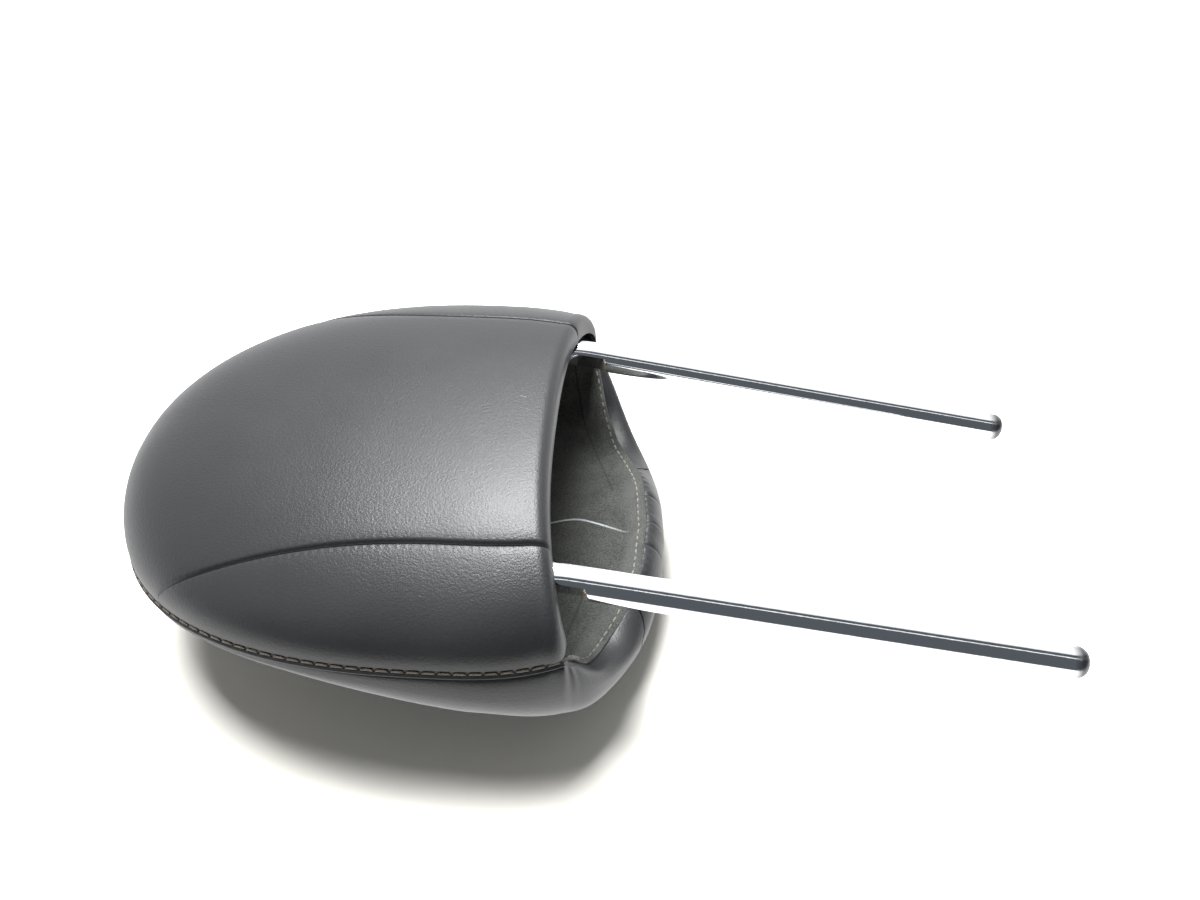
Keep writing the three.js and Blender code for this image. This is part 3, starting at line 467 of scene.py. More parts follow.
def noise(tree, place, size, detail, **more):
    """Noise whose blotches have a size in mm; more holds its other inputs."""
    inputs = {"Vector": place, "Scale": 1 / size, "Detail": detail, **more}
    return add_node(tree, "ShaderNodeTexNoise", inputs).outputs[0]


def bump(tree, shader, height, strength, depth):
    """Lets a height, with its depth in mm, tilt the surface's normals."""
    inputs = {"Height": height, "Strength": strength, "Distance": depth / 1000}
    relief = add_node(tree, "ShaderNodeBump", inputs)
    tree.links.new(relief.outputs["Normal"], shader.inputs["Normal"])


def new_material(name):
    """An empty material with its shader and a place on the object in millimetres."""
    material = bpy.data.materials.new(name)
    material.use_nodes = True
    tree = material.node_tree
    where = add_node(tree, "ShaderNodeTexCoord").outputs["Object"]
    return material, tree, tree.nodes["Principled BSDF"], scaled(tree, where, (1000, 1000, 1000))


# %% [markdown]
# ## Black nappa leather
#
# Car leather is split cowhide with a pigmented, semi-gloss polyurethane finish. Its grain is a net of
# fine pebbles about 1 mm wide, printed into the finish. The black pigment gives almost no colour of
# its own, so what we see is the gloss: broad where the grain scatters it, and tighter where the hide
# is stretched. A Voronoi pattern of cells makes the pebbles, a finer noise roughens them, a drawn-out
# noise lays wrinkles over them, and slow noise varies the gloss as handling does.
#
# The centre panel has two marks in the photograph: a short pale scratch, and a faint duller scuff.

# %% Leather material
SCRATCH_X, SCRATCH_Y, SCRATCH_SLANT = FRAME_SHIFT - 20.0, 5.3, 0.3
SCRATCH_REACH, SCRATCH_WIDTH = 1.4, 0.13
SCUFF_X, SCUFF_Y, SCUFF_REACH, SCUFF_WIDTH = FRAME_SHIFT - 74.0, 32.5, 7.0, 1.3


def make_leather(name, base, roughness, grain_mm=1.0, grain_depth=0.065):
    """Pebbled, pigmented leather; its wrinkles are longer along the cushion than across it."""
    material, tree, shader, place = new_material(name)
    slow = noise(tree, place, 42, 3.0)
    net = {"Vector": place, "Scale": 1 / grain_mm, "Smoothness": 0.5}
    cells = add_node(tree, "ShaderNodeTexVoronoi", net, feature="SMOOTH_F1").outputs["Distance"]
    fine = noise(tree, place, 0.5, 2.0)
    wrinkles = noise(tree, scaled(tree, place, (0.5, 1.0, 1.0)), 1.0, 3.0, Distortion=0.8)
    tone = blend(tree, slow, colour(base), colour(base, 1.5))
    gloss = ramp(tree, slow, 0.3, 0.7, roughness - 0.03, roughness + 0.04)
    x, y, _ = split(tree, place)
    slanting = maths(tree, "MULTIPLY_ADD", x, SCRATCH_SLANT, y)
    middle_line = SCRATCH_Y + SCRATCH_X * SCRATCH_SLANT
    scratch = maths(tree, "MULTIPLY", maths(tree, "COMPARE", slanting, middle_line, SCRATCH_WIDTH),
                    maths(tree, "COMPARE", x, SCRATCH_X, SCRATCH_REACH))
    scuff = maths(tree, "MULTIPLY", maths(tree, "COMPARE", x, SCUFF_X, SCUFF_REACH),
                  maths(tree, "COMPARE", y, SCUFF_Y, SCUFF_WIDTH))
    set_inputs(tree, shader, {"Base Color": blend(tree, scratch, tone, colour("#7d8080")),
                              "Roughness": maths(tree, "MULTIPLY_ADD", scuff, 0.07, gloss), "IOR": 1.5})
    pebbles = maths(tree, "SUBTRACT", fine, cells)
    bump(tree, shader, maths(tree, "MULTIPLY_ADD", wrinkles, 0.9, pebbles), 1.0, grain_depth)
    return material


nappa = make_leather("black_nappa_leather", "#1e1f21", 0.40)

# %% [markdown]
# ## Needled felt, thread, chrome and the inside
#
# The pocket is lined with grey needled felt: short fibres matted together, light and dark, with no
# gloss at all. A pale bowed line crosses it and fades out before the lip, and two dark lines of painted
# shade stand for folds in it.
# The topstitch is a bonded polyester thread of three plies. The posts are steel tube with decorative
# chrome: a very smooth metal that mostly shows what is around it. Sliding in the seat has drawn fine
# hairlines along it and rubbed its tips dull; the tips' colour is also darkened, as painted shade.

# %% Felt material
BOW_X, BOW_Y, BOW_ROUND, BOW_SLOPE, BOW_WIDTH = FRAME_SHIFT + 2.0, 13.9, 6.0, -0.38, 0.55
BOW_FADES, BOW_ENDS = 4.0, 20.0
FOLD_SHADE_WIDTH = 0.5
FOLD_SHADE_LINES = [(-0.36, FRAME_SHIFT + 30.9, "GREATER_THAN", 33.0), (0.25, FRAME_SHIFT + 17.8, "LESS_THAN", -38.0)]
felt, tree, shader, place = new_material("grey_needled_felt")
fibres = noise(tree, place, 0.7, 5.0, Roughness=0.75)
clumps = maths(tree, "MULTIPLY", noise(tree, place, 11, 2.0), 0.2)
matted = maths(tree, "ADD", fibres, clumps)
shade = blend(tree, ramp(tree, matted, 0.48, 0.71), colour("#232624"), colour("#545752"))
x, y, _ = split(tree, place)
# Two near-black lines are painted into the felt's colour as the shade of folds.
folds = []
for lean, foot, beyond, limit in FOLD_SHADE_LINES:
    on_line = maths(tree, "COMPARE", x, maths(tree, "MULTIPLY_ADD", y, lean, foot), FOLD_SHADE_WIDTH)
    folds.append(maths(tree, "MULTIPLY", on_line, maths(tree, beyond, y, limit)))
crease = maths(tree, "MULTIPLY", maths(tree, "MAXIMUM", *folds), fibres)
felt_with_painted_fold_shade = blend(tree, crease, shade, colour("#0c0c0c"))
# A pale bowed line is painted into the felt's colour; it fades out before the lip.
beside = maths(tree, "SUBTRACT", x, BOW_X)
bow = maths(tree, "SQRT", maths(tree, "MULTIPLY_ADD", beside, beside, BOW_ROUND**2))
on_bow = maths(tree, "COMPARE", y, maths(tree, "MULTIPLY_ADD", bow, BOW_SLOPE, BOW_Y), BOW_WIDTH)
mark = maths(tree, "MULTIPLY", on_bow, ramp(tree, x, BOW_FADES, BOW_ENDS, 1.0, 0.0))
pale_bow_share = maths(tree, "MULTIPLY", mark, maths(tree, "MULTIPLY_ADD", fibres, 1.2, 0.1))
set_inputs(tree, shader, {"Base Color": blend(tree, pale_bow_share, felt_with_painted_fold_shade, colour("#dfe5e9")), "Roughness": 0.95,
                          "Sheen Weight": 0.2})
bump(tree, shader, matted, 1.0, 0.7)


# %% Thread materials
def make_thread(name, dark, light):
    """Three-ply thread: slanting plies, with painted shade darkening the valleys between them."""
    material, tree, shader, place = new_material(name)
    wave = {"Vector": place, "Scale": 1 / 1.6, "Distortion": 1.0}
    plies = add_node(tree, "ShaderNodeTexWave", wave, bands_direction="DIAGONAL").outputs["Fac"]
    # The colour is darker in the ply valleys: painted shade.
    tone = blend(tree, plies, colour(dark), colour(light))
    set_inputs(tree, shader, {"Base Color": tone, "Roughness": 0.55})
    bump(tree, shader, plies, 0.8, 0.2)
    return material


thread = make_thread("bonded_polyester_thread", "#45403c", "#857b70")
pale_thread = make_thread("grey_polyester_thread", "#5d5a55", "#a09c93")

# %% Chrome material
TIP_WEAR_AND_SHADE_FROM, TIP_WEAR_AND_SHADE_TO = 204.5, 208.5
chrome, tree, shader, place = new_material("decorative_chrome_on_steel")
marks = noise(tree, scaled(tree, place, (0.02, 1.2, 1.2)), 1.0, 4.0, Roughness=0.6)
gloss = ramp(tree, marks, 0.45, 0.75, 0.035, 0.14)
# Near the tips the chrome is rubbed rougher, which is wear, and its colour is darkened, which is painted
# shade.
tip_wear_and_shade = ramp(tree, split(tree, place)[0], TIP_WEAR_AND_SHADE_FROM, TIP_WEAR_AND_SHADE_TO)
set_inputs(tree, shader, {"Base Color": blend(tree, tip_wear_and_shade, colour("#f1f2f4"), colour("#6c6e70")),
                          "Roughness": maths(tree, "MULTIPLY_ADD", tip_wear_and_shade, 0.28, gloss), "Metallic": 1.0})
bump(tree, shader, marks, 0.25, 0.03)


# %% Materials of the inner pieces
def plain_material(name, base, roughness, metallic=0.0, speck_mm=2.0, depth=0.05):
    """A moulded, foamed or plated surface: one colour with a fine mottle and bump."""
    material, tree, shader, place = new_material(name)
    speck = noise(tree, place, speck_mm, 4.0)
    set_inputs(tree, shader, {"Base Color": blend(tree, speck, colour(base, 0.75), colour(base, 1.3)),
                              "Roughness": roughness, "Metallic": metallic})
    bump(tree, shader, speck, 0.6, depth)
    return material


abs_plastic = plain_material("moulded_black_abs", "#1d1e20", 0.5, speck_mm=0.8)
nylon = plain_material("white_nylon", "#d9d6cc", 0.4, speck_mm=3)
zinc_steel = plain_material("zinc_plated_steel", "#9c9ea2", 0.35, metallic=1.0, speck_mm=1.5)
pale_notch_face = plain_material("pale_plated_steel_notch_face", "#d6cfbd", 0.5, metallic=0.2, speck_mm=0.8)
pu_foam = plain_material("grey_polyurethane_foam", "#6d6a66", 0.95, speck_mm=1.2, depth=0.4)
inner = {"carrier_rear_shell": abs_plastic, "carrier_front_shell": abs_plastic, "tilt_stop_lug": zinc_steel}
inner.update({f"pivot_bush_{side}": nylon for side in ("left", "right")})
inner.update({f"friction_clip_{side}": zinc_steel for side in ("left", "right")})
inner.update({f"carrier_screw_{i}": zinc_steel for i in (1, 2, 3, 4)})
for name, finish in inner.items():
    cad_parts[name].data.materials.clear()
    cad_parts[name].data.materials.append(finish)
print("inner nodes finished:", len(inner))

# %% [markdown]
# ## The rear panels
#
# Three cuts of leather make the rear side. Where two of them meet, the edges are sewn face to face
# and turned under, so the surface dips into a narrow, puckered crease in a shallow hollow. The
# columns of the grid crowd together at the seams, because that is where the shape bends most.

# %% Rear panels
CREASE_DEPTH, CREASE_WIDTH, HOLLOW_DEPTH, HOLLOW_WIDTH = 1.3, 0.7, 0.35, 3.0
PUCKER_PITCH, PUCKER_HEIGHT, PUCKER_AWAY, PUCKER_WIDTH = 3.3, 0.06, 1.6, 1.3
CENTRE_WIDTH, SIDE_WIDTH = 150.0, 62.0
SIDE_STEPS = np.array([0, 0.25, 0.5, 0.8, 1.2, 1.7, 2.4, 3.3, 4.5, 6, 8, 10.5, 13.5, 17, 21])
rows = np.concatenate([np.linspace(-2, -1, 5)[:-1], np.linspace(-1, 0, 13)[:-1], np.linspace(0, 1, 330)])
seam_gap = 0.0015


def lowered(points, x, away):
    """Sinks the leather into the seam's crease, with puckers beside it; away is the way to the seam."""
    fade = smooth(SEAM_JOIN_X - 3, SEAM_JOIN_X + 5, x)
    crease = CREASE_DEPTH * np.exp(-((away / CREASE_WIDTH) ** 2))
    hollow = HOLLOW_DEPTH * np.exp(-((away / HOLLOW_WIDTH) ** 2))
    beside = np.exp(-(((away - PUCKER_AWAY) / PUCKER_WIDTH) ** 2))
    pucker = PUCKER_HEIGHT * np.sin(points[..., 0] * 2 * np.pi / PUCKER_PITCH) * beside
    points[..., 2] -= (crease + hollow + pucker) * fade
    return points


def seam_x(v, inset):
    """The x that the seam's place is worked out from, for each row."""
    along = np.sin(np.clip(v, 0, 1) * np.pi / 2)
    start = REAR_EDGE_X - EDGE_ROLL
    return np.where(v < 0, REAR_EDGE_X, start + (-HEAD_REACH + inset - start) * along)


def panel(name, turn_from, turn_to, shares, row_values, seams=1):
    """One rear panel between two turns, each a function of x; its last column, or both, is a seam."""
    layers = []
    for inset in (0.0, LEATHER):
        v = row_values[:, None] + 0 * shares[None]
        x = seam_x(v, inset)
        turn = turn_from(x) + (turn_to(x) - turn_from(x)) * shares[None]
        points = rear_sheet(v, turn, inset)
        from_start = np.linalg.norm(points - points[:, :1], axis=-1)
        from_end = np.linalg.norm(points - points[:, -1:], axis=-1)
        away = np.minimum(from_end, from_start) if seams == 2 else from_end
        layers.append(lowered(points, x, away))
    return closed_sheet(name, *layers)


edge_shares = SIDE_STEPS / CENTRE_WIDTH
middle = np.linspace(edge_shares[-1], 1 - edge_shares[-1], 34)[1:-1]
centre_shares = np.concatenate([edge_shares, middle, 1 - edge_shares[::-1]])
centre = panel("rear_centre_leather", lambda x: seam_turn(x) + seam_gap,
               lambda x: np.pi - seam_turn(x) - seam_gap, centre_shares, rows, seams=2)
dress(centre, "cushion", nappa, "rear_centre_panel", slot="black_leather")

# %% [markdown]
# The side panels end in a point where the seam runs into the welt, so their rows stop there.

# %% Side panels
roll_x = REAR_EDGE_X - EDGE_ROLL
join = math.asin((roll_x - SEAM_JOIN_X - 0.3) / (HEAD_REACH + roll_x)) * 2 / math.pi
side_rows = np.concatenate([rows[rows < 0], np.linspace(0, join, 250)])
edge_shares = SIDE_STEPS / SIDE_WIDTH
side_shares = np.concatenate([np.linspace(0, 1 - edge_shares[-1], 22)[:-1], 1 - edge_shares[::-1]])
near_side = panel("rear_side_leather_left", lambda x: 0 * x,
                  lambda x: seam_turn(x) - seam_gap, side_shares, side_rows)
far_side = panel("rear_side_leather_right", lambda x: 0 * x + np.pi,
                 lambda x: np.pi - seam_turn(x) + seam_gap, side_shares, side_rows)
dress(near_side, "cushion", nappa, "rear_side_panel_left", slot="black_leather")
dress(far_side, "cushion", nappa, "rear_side_panel_right", slot="black_leather")

# %% [markdown]
# ## The front cover and its gathered border
#
# The front leather is one large cut that wraps the flanks and the front face. At the lip, between two
# short seams, a separate strip covers the pocket's mouth. It is longer than the edge it is sewn to,
# so it gathers there: each gather is a sharp valley with a soft ridge beside it, and all of them
# start at the felt and die out over the lip.

# %% Front cover
BORDER_START_RIM, BORDER_START_LIP, BORDER_UNDER, BORDER_GAP = 1.735, 1.567, 1.3, 0.004
FLANK_CELLS, MOUTH_CELLS = 210, 60
FOLD_HEIGHT, FOLD_PLACE, FOLD_SPREAD, FOLD_RATE = 0.7, 1.04, 0.07, 95


def border_start(t):
    """Where the border's end seams run: they flare from the felt to the lip."""
    return BORDER_START_RIM + (BORDER_START_LIP - BORDER_START_RIM) * np.clip(t, 0, 1)


def rippled(s, t, inset=0.0):
    """The front surface with soft folds where the leather is pulled round the corners."""
    near = to_near(s)
    pull = np.exp(-(((near - FOLD_PLACE) / FOLD_SPREAD) ** 2)) * np.clip(1.15 - t, 0, 1)
    fold = FOLD_HEIGHT * pull * np.sin((near - 1.0) * FOLD_RATE)
    return front_point(s, t, inset - fold)


t_columns = np.unique(np.concatenate([np.linspace(0, 0.12, 5), np.linspace(0.12, 2, 56), [BORDER_UNDER]]))
seam = (border_start(t_columns) - BORDER_GAP)[:, None]
flank = np.linspace(0, 1, FLANK_CELLS + 1)[None] * seam
mouth = np.linspace(-1, 1, MOUTH_CELLS + 1)[1:-1][None] * (2 - seam) + 2
S = np.concatenate([flank, mouth, 4 - flank[:, :0:-1]], axis=1).T
T = np.broadcast_to(t_columns, S.shape)
on_mouth = (np.arange(len(S)) >= FLANK_CELLS) & (np.arange(len(S)) < FLANK_CELLS + MOUTH_CELLS)
t_middle = (t_columns[1:] + t_columns[:-1]) / 2
in_border = on_mouth[:, None] & (t_middle < BORDER_UNDER)[None]
cover = closed_sheet("front_leather", rippled(S, T), rippled(S, T, LEATHER), keep=~in_border, ring=True)
dress(cover, "cushion", nappa, "front_cover", slot="black_leather")

# %% Gathered border
GATHERS, GATHER_HEIGHT, GATHER_WIDTH = [-14.0, 1.0, 20.0], 0.24, 3.0
VALLEY_DEPTH, VALLEY_WIDTH, RIDGE_AWAY = 1.4, 0.8, 3.4
FELT_PITCH, LIP_PUCKER, PUCKER_REACH, GATHER_REACH = 4.3, 0.10, 0.3, 0.95
strip_t = np.concatenate([np.linspace(0, 0.1, 5), np.linspace(0.1, BORDER_UNDER - 0.015, 60)[1:]])
Q, T = np.meshgrid(np.linspace(-1, 1, 301), strip_t, indexing="ij")
S = 2 + Q * (2 - border_start(T) - BORDER_GAP)
across = front_point(S, T)[..., 1]
ridges = sum(np.exp(-(((across - g - RIDGE_AWAY) / GATHER_WIDTH) ** 2)) for g in GATHERS)
valleys = sum(np.exp(-(((across - g) / VALLEY_WIDTH) ** 2)) for g in GATHERS)
lift = GATHER_HEIGHT * (ridges - VALLEY_DEPTH * valleys)
fade = np.clip(1 - T / GATHER_REACH, 0, 1) ** 0.8
puckers = LIP_PUCKER * np.sin(across * 2 * np.pi / FELT_PITCH) * np.clip(1 - T / PUCKER_REACH, 0, 1)
border = closed_sheet("gathered_lip_leather", front_point(S, T, -lift * fade - puckers),
                      front_point(S, T, LEATHER))
dress(border, "cushion", nappa, "lip_border", slot="black_leather")

# %% [markdown]
# ## The felt lining
#
# The felt is cut to the pocket. Along the mouth it lies over the leather's edge and is sewn to it a
# little inside; further in it runs under the rear side.

# %% Felt lining
STITCH_FROM_EDGE = 3.8


def felt_point(s, w, down=0.0):
    """A place on the felt, down mm below its upper side."""
    near = to_near(s)
    at_mouth = smooth(1.05, 1.45, near)
    over = 0.5 * at_mouth * smooth(0.8, 0.97, w)
    return bowl_point(s, w, down - over, (LEATHER + GAP) * (1 - at_mouth))


s_felt = np.linspace(0.55, 4 - 0.55, 341)
s_felt = s_felt[outline(to_near(s_felt))[0][:, 0] > POCKET_END_X]
w_felt = np.concatenate([np.linspace(0.999, 0.7, 60), np.linspace(0.7, 0, 30)[1:]])
S, W = np.meshgrid(s_felt, w_felt, indexing="ij")
lining = closed_sheet("felt_lining", felt_point(S, W), felt_point(S, W, LINING))
dress(lining, "cushion", felt, "pocket_lining", slot="grey_felt")

# %% [markdown]
# ## The foam
#
# Under the leather lie two pieces of moulded foam. They are hidden, but they are part of the model,
# and they show if somebody takes the cover off.

# %% Foam
FOAM_EDGE_TURN, FOAM_TOP, FOAM_BASE = math.radians(9), 4.1, 7.3
turns = np.linspace(FOAM_EDGE_TURN, math.pi - FOAM_EDGE_TURN, 41)
V, TURN = np.meshgrid(np.linspace(0, 1, 41), turns, indexing="ij")
rear_pad = closed_sheet("rear_foam_pad", rear_sheet(V, TURN, FOAM_TOP), rear_sheet(V, TURN, FOAM_BASE))
dress(rear_pad, "cushion", pu_foam, "rear_foam", slot="grey_foam")
S, W = np.meshgrid(np.linspace(0, 4, 97)[:-1], np.linspace(0.92, 0, 30), indexing="ij")
T = np.broadcast_to(np.linspace(0.6, 2, 30), S.shape)
front_pad = closed_sheet("front_foam_pad", felt_point(S, W, LINING + 2 * GAP),
                         front_point(S, T, LEATHER + 2 * GAP), ring=True)
dress(front_pad, "cushion", pu_foam, "front_foam", slot="grey_foam")

# %% [markdown]
# ## The perimeter seam
#
# Round the widest line the rear and front leather meet. The front edge is turned over and makes a
# slim ridge, the rear edge stops just above it, and a long topstitch lies in the groove between
# them. The ridge is a profile carried along the seam, and each stitch is its own short bead.

# %% Welt ridge
WELT_STEPS, WELT_INSET = 260, 0.8
going = np.linspace(1, 0, WELT_STEPS)
edge, _ = outline(np.concatenate([going, going[-2::-1]]))
path = inwards(edge, spine(edge), WELT_INSET)
path[:WELT_STEPS, 1] *= -1
path[:, 2] = welt_z(edge[:, 0])
profile = [(-2.2, -2.3), (0.2, -2.4), (1.0, -2.2), (1.5, -1.7), (1.65, -1.2), (1.45, -0.7), (0.9, -0.4),
           (0.4, -0.2), (0.3, 0.4), (0.35, 1.2), (0.3, 2.0), (-0.6, 2.4), (-2.2, 2.2)]
ridge = swept("welt_ridge", path, profile)
dress(ridge, "cushion", nappa, "main_welt", slot="welt_cord")

# %% Stitches
BEAD_SIDES = 8
BEAD_SHAPE = [(-1, 0.25), (-0.9, 0.8), (-0.6, 1), (0, 1.05), (0.6, 1), (0.9, 0.8), (1, 0.25)]


def beads(name, path, pitch, length, radius, lift=0.0, sideways=0.0):
    """Short rounded stitches along a path, one every pitch; their ends dip into the material."""
    travelled = np.concatenate([[0], np.cumsum(np.linalg.norm(np.diff(path, axis=0), axis=1))])
    points, faces = [], []
    ring = np.linspace(0, 2 * np.pi, BEAD_SIDES + 1)[:-1]
    for start in np.arange(pitch / 2, travelled[-1] - pitch / 2, pitch):
        middle = np.array([np.interp(start, travelled, path[:, k]) for k in range(3)])
        ahead = np.array([np.interp(start + 0.5, travelled, path[:, k]) for k in range(3)])
        forward = unit(ahead - middle)
        side = unit(np.cross(forward, [0, 0, 1.0]))
        up = np.cross(side, forward)
        middle = middle + up * lift + side * sideways
        first = len(points)
        for along, size in BEAD_SHAPE:
            dip = -0.9 * radius * along**4
            centre_point = middle + forward * along * length / 2 + up * dip
            points += [centre_point + radius * size * (side * math.cos(a) + up * math.sin(a)) for a in ring]
        faces += [tuple(first + i for i in face) for face in tube_faces(len(BEAD_SHAPE), BEAD_SIDES)]
    return to_object(name, points, faces, 80)


topstitch = beads("welt_topstitch", path, pitch=6.0, length=4.9, radius=0.55, lift=1.0, sideways=0.75)
dress(topstitch, "cushion", thread, slot="welt_cord")
rim_s = np.linspace(1.08, 4 - 1.08, 600)
rim_edge, rim_wide = outline(to_near(rim_s))
rim_width = np.hypot(rim_edge[:, 0] - spine(rim_wide), rim_edge[:, 1])
felt_path = felt_point(rim_s, 1 - STITCH_FROM_EDGE / rim_width, -0.2)
felt_stitch = beads("felt_stitch", felt_path, pitch=FELT_PITCH, length=2.9, radius=0.42)
dress(felt_stitch, "cushion", pale_thread, slot="grey_felt")

# %% [markdown]
# ## The posts
#
# The post frame is one bent tube. Its two legs slide into the seat, where a catch drops into a notch:
# a flat-bottomed cut with one square face. We sweep a ring along the bent line and press the notch
# into the rings, with rings close together at the square face so that it stays sharp. The outer edge
# of that face gets a material of its own, painted a pale, duller colour.

# %% Post frame
HALF_SPACING, POST_RADIUS, POST_EXPOSED, POST_SLOPE = 75.0, 7.0, 224.5, 10.24
PIVOT_X, PIVOT_Z, BEND_X, CORNER_BEND, DOGLEG = -100.0, EXIT_Z - 13.5, -10.0, 22.0, 14.0
NOTCH_START, NOTCH_RAMP, NOTCH_WALL, NOTCH_END = -8.0, 7.7, 2.4, 14.0
NOTCH_DEPTH, NOTCH_TURN, PALE_FACE_FROM = 3.2, 25.0, 3.7
TIP_LENGTH, TIP_FLAT, BAR_SIDES = 5.0, 4.0, 48
slope = math.radians(POST_SLOPE)


def on_post(distance):
    """A place on the straight part of the near post's axis."""
    return np.array([distance * math.cos(slope), -HALF_SPACING, EXIT_Z - distance * math.sin(slope)])


def bent(a, b, c, count):
    """Points of a bend from a to c with its corner at b."""
    t = np.linspace(0, 1, count)[:, None]
    return (1 - t) ** 2 * a + 2 * t * (1 - t) * b + t**2 * c


reach = POST_EXPOSED - TIP_LENGTH
near_notch = [*np.linspace(4, 16, 25), NOTCH_END - NOTCH_WALL, NOTCH_END]
straight = np.unique(np.concatenate([np.linspace(4, reach, 60), near_notch]))[::-1]
knee = on_post(BEND_X / math.cos(slope))
corner = np.array([PIVOT_X, -HALF_SPACING, PIVOT_Z])
towards = unit(corner - knee)
dogleg = bent(on_post((BEND_X + DOGLEG) / math.cos(slope)), knee, knee + towards * DOGLEG, 20)[1:]
turn_in = bent(corner - towards * CORNER_BEND, corner, corner + np.array([0, CORNER_BEND, 0]), 20)
half_path = np.concatenate([[on_post(d) for d in straight], dogleg, turn_in])
mirror = half_path[::-1] * [1, -1, 1]
bar_path = np.concatenate([half_path, mirror])
print("bar length:", round(float(np.linalg.norm(np.diff(bar_path, axis=0), axis=1).sum())), "mm")

# %% Rings of the bar
tangent = unit(np.gradient(bar_path, axis=0))
axis = np.array([math.cos(slope), 0, -math.sin(slope)])
notch_way = np.array([0, -math.cos(math.radians(NOTCH_TURN)), -math.sin(math.radians(NOTCH_TURN))])
notch_way = unit(notch_way - axis * np.dot(notch_way, axis))
ring_angles = np.linspace(0, 2 * np.pi, BAR_SIDES + 1)[:-1, None]
ring_cos, ring_sin = np.cos(ring_angles), np.sin(ring_angles)
first = unit(np.cross(tangent[0], [0, 1.0, 0]))
points = []
for place, way in zip(bar_path, tangent):
    first = unit(first - way * np.dot(first, way))
    second = np.cross(way, first)
    circle = place + POST_RADIUS * (ring_cos * first + ring_sin * second)
    side = -1 if place[1] < 0 else 1
    from_exit = np.dot(place - [0, side * HALF_SPACING, EXIT_Z], axis)
    if NOTCH_START < from_exit < NOTCH_END and abs(place[1]) > HALF_SPACING - 0.1:
        depth = min(1.0, (from_exit - NOTCH_START) / NOTCH_RAMP, (NOTCH_END - from_exit) / NOTCH_WALL)
        limit = POST_RADIUS - NOTCH_DEPTH * depth
        out = (circle - place) @ notch_way
        circle = circle - np.maximum(0, out - limit)[:, None] * notch_way
    points.append(circle)

# %% Tips and mesh of the bar
def tip_rings(end, way):
    """Rings that round off a tip, from the last full ring outwards."""
    found = []
    for share in np.linspace(0, 1, 8)[1:]:
        angle = share * math.pi / 2
        radius = TIP_FLAT + (POST_RADIUS - TIP_FLAT) * math.cos(angle)
        shift = TIP_LENGTH * math.sin(angle)
        centre_point = end.mean(0)
        found.append(centre_point + (end - centre_point) * radius / POST_RADIUS + way * shift)
    return found


points = tip_rings(points[0], -tangent[0])[::-1] + points + tip_rings(points[-1], tangent[-1])
bar = to_object("chromed_post_frame", np.concatenate(points), tube_faces(len(points), BAR_SIDES), 35)
dress(bar, "posts", chrome, "post_frame", slot="chrome_post")
# The square face's outer edge is painted a pale, dull colour.
bar.data.materials.append(pale_notch_face)
for face in bar.data.polygons:
    place = np.array(face.center) * 1000 - [FRAME_SHIFT, math.copysign(HALF_SPACING, face.center.y), EXIT_Z]
    from_exit = place @ axis
    outer = (place - axis * from_exit) @ notch_way > PALE_FACE_FROM
    faces_back = np.array(face.normal) @ axis < -0.3
    if NOTCH_END - NOTCH_WALL < from_exit < NOTCH_END and outer and faces_back:
        face.material_index = 1

# %% [markdown]
# ## Light and surroundings
#
# The photograph is taken on a white table under a soft light from above and behind. The person with
# the camera blocks the light on the near side, and that is the dark band in the chrome. So the world
# is white to the camera, and to mirrors it is white with a dark near side and one light strip in it.
# To the surfaces it lights it is a dim grey, which keeps the shadow deep.
#
# The light from above is split in three lamps. One lights the surfaces and makes the shadow; the
# other two are only seen as gloss on the leather.

# %% World
NEAR_SIDE = (0.095, 0.108, 0.122, 1)
DIM = (0.26, 0.26, 0.26, 1)
WHITE = (1, 1, 1, 1)
world = bpy.data.worlds.new("world")
bpy.context.scene.world = world
world.use_nodes = True
tree = world.node_tree
tree.nodes.clear()
x, y, z = split(tree, add_node(tree, "ShaderNodeTexCoord").outputs["Generated"])
past = maths(tree, "MULTIPLY_ADD", x, -0.7, maths(tree, "MULTIPLY_ADD", z, 0.5, y))
strip = maths(tree, "COMPARE", past, -0.35, 0.045)
open_side = maths(tree, "MAXIMUM", ramp(tree, past, -0.05, 0.05), strip)
room = blend(tree, open_side, NEAR_SIDE, ramp(tree, x, -0.9, -0.2, 0.75, 1.2))
rays = add_node(tree, "ShaderNodeLightPath").outputs
lit = blend(tree, rays["Is Diffuse Ray"], room, DIM)
seen = blend(tree, rays["Is Camera Ray"], lit, WHITE)
glow = add_node(tree, "ShaderNodeBackground", {"Color": seen, "Strength": 1.0})
add_node(tree, "ShaderNodeOutputWorld", {"Surface": glow.outputs[0]})


# %% Lamps
def softbox(name, place, aim, size, power):
    """A large rectangular lamp that points at a place."""
    data = bpy.data.lights.new(name, "AREA")
    data.shape = "RECTANGLE"
    data.size, data.size_y = size
    data.energy = power
    lamp = bpy.data.objects.new(name, data)
    lamp.location = place
    lamp.rotation_euler = (Vector(aim) - Vector(place)).to_track_quat("-Z", "Y").to_euler()
    bpy.context.scene.collection.objects.link(lamp)
    return lamp


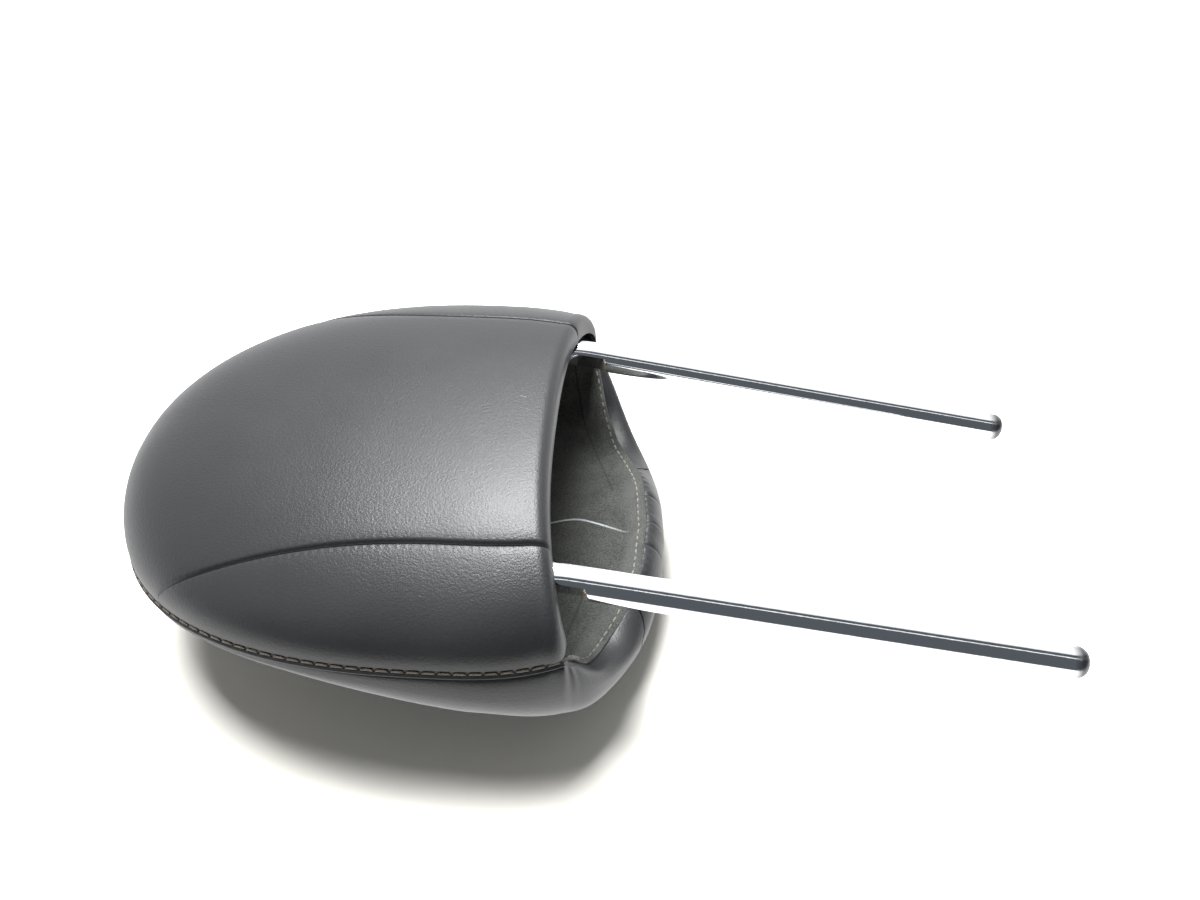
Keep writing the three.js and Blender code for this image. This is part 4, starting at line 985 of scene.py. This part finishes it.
MIDDLE, TOP = (-0.02, -0.06, 0.05), (-0.02, -0.06, 0.1)
sky = softbox("skylight", (-0.28, 0.17, 1.45), MIDDLE, (0.62, 0.62), 58)
sky.visible_glossy = False
core = softbox("skylight_core", (-0.03, 0.32, 1.25), TOP, (0.38, 0.28), 18.5)
core.visible_diffuse = False
rim = softbox("skylight_rim", (-0.03, 0.70, 1.25), TOP, (0.38, 0.46), 11)
rim.visible_diffuse = False

# %% [markdown]
# The table takes the shadow. Further out it glows to the camera, so that the shadow ends in white. To
# mirrors it is brightly lit, up to where the person with the camera stands.

# %% Table
floor_mesh = bpy.data.meshes.new("table")
floor_mesh.from_pydata([(-6, -6, 0), (6, -6, 0), (6, 6, 0), (-6, 6, 0)], [], [(0, 1, 2, 3)])
floor = bpy.data.objects.new("table", floor_mesh)
bpy.context.scene.collection.objects.link(floor)
GLOW_CENTRE, GLOW_FROM, GLOW_FULL = (-60, -20, 0), 180.0, 300.0
NEAR_FROM, NEAR_FULL = -230.0, -290.0
BRIGHT = (1.8, 1.8, 1.8, 1)
white, tree, shader, place = new_material("matt_white_table")
set_inputs(tree, shader, {"Base Color": (0.83, 0.82, 0.77, 1), "Roughness": 0.9, "Specular IOR Level": 0.0})
rays = add_node(tree, "ShaderNodeLightPath").outputs
far_off = add_node(tree, "ShaderNodeVectorMath", {0: place, 1: GLOW_CENTRE}, operation="DISTANCE")
fade_in = ramp(tree, far_off.outputs["Value"], GLOW_FROM, GLOW_FULL)
glow = add_node(tree, "ShaderNodeEmission", {"Color": WHITE, "Strength": fade_in})
both = add_node(tree, "ShaderNodeAddShader", {0: shader.outputs[0], 1: glow.outputs[0]})
pick = add_node(tree, "ShaderNodeMixShader",
                {0: rays["Is Camera Ray"], 1: shader.outputs[0], 2: both.outputs[0]})
tone = blend(tree, ramp(tree, split(tree, place)[1], NEAR_FROM, NEAR_FULL), BRIGHT, NEAR_SIDE)
mirrored = add_node(tree, "ShaderNodeEmission", {"Color": tone, "Strength": 1.0})
table_look = add_node(tree, "ShaderNodeMixShader",
                      {0: rays["Is Glossy Ray"], 1: pick.outputs[0], 2: mirrored.outputs[0]})
tree.links.new(table_look.outputs[0], tree.nodes["Material Output"].inputs["Surface"])
floor_mesh.materials.append(white)
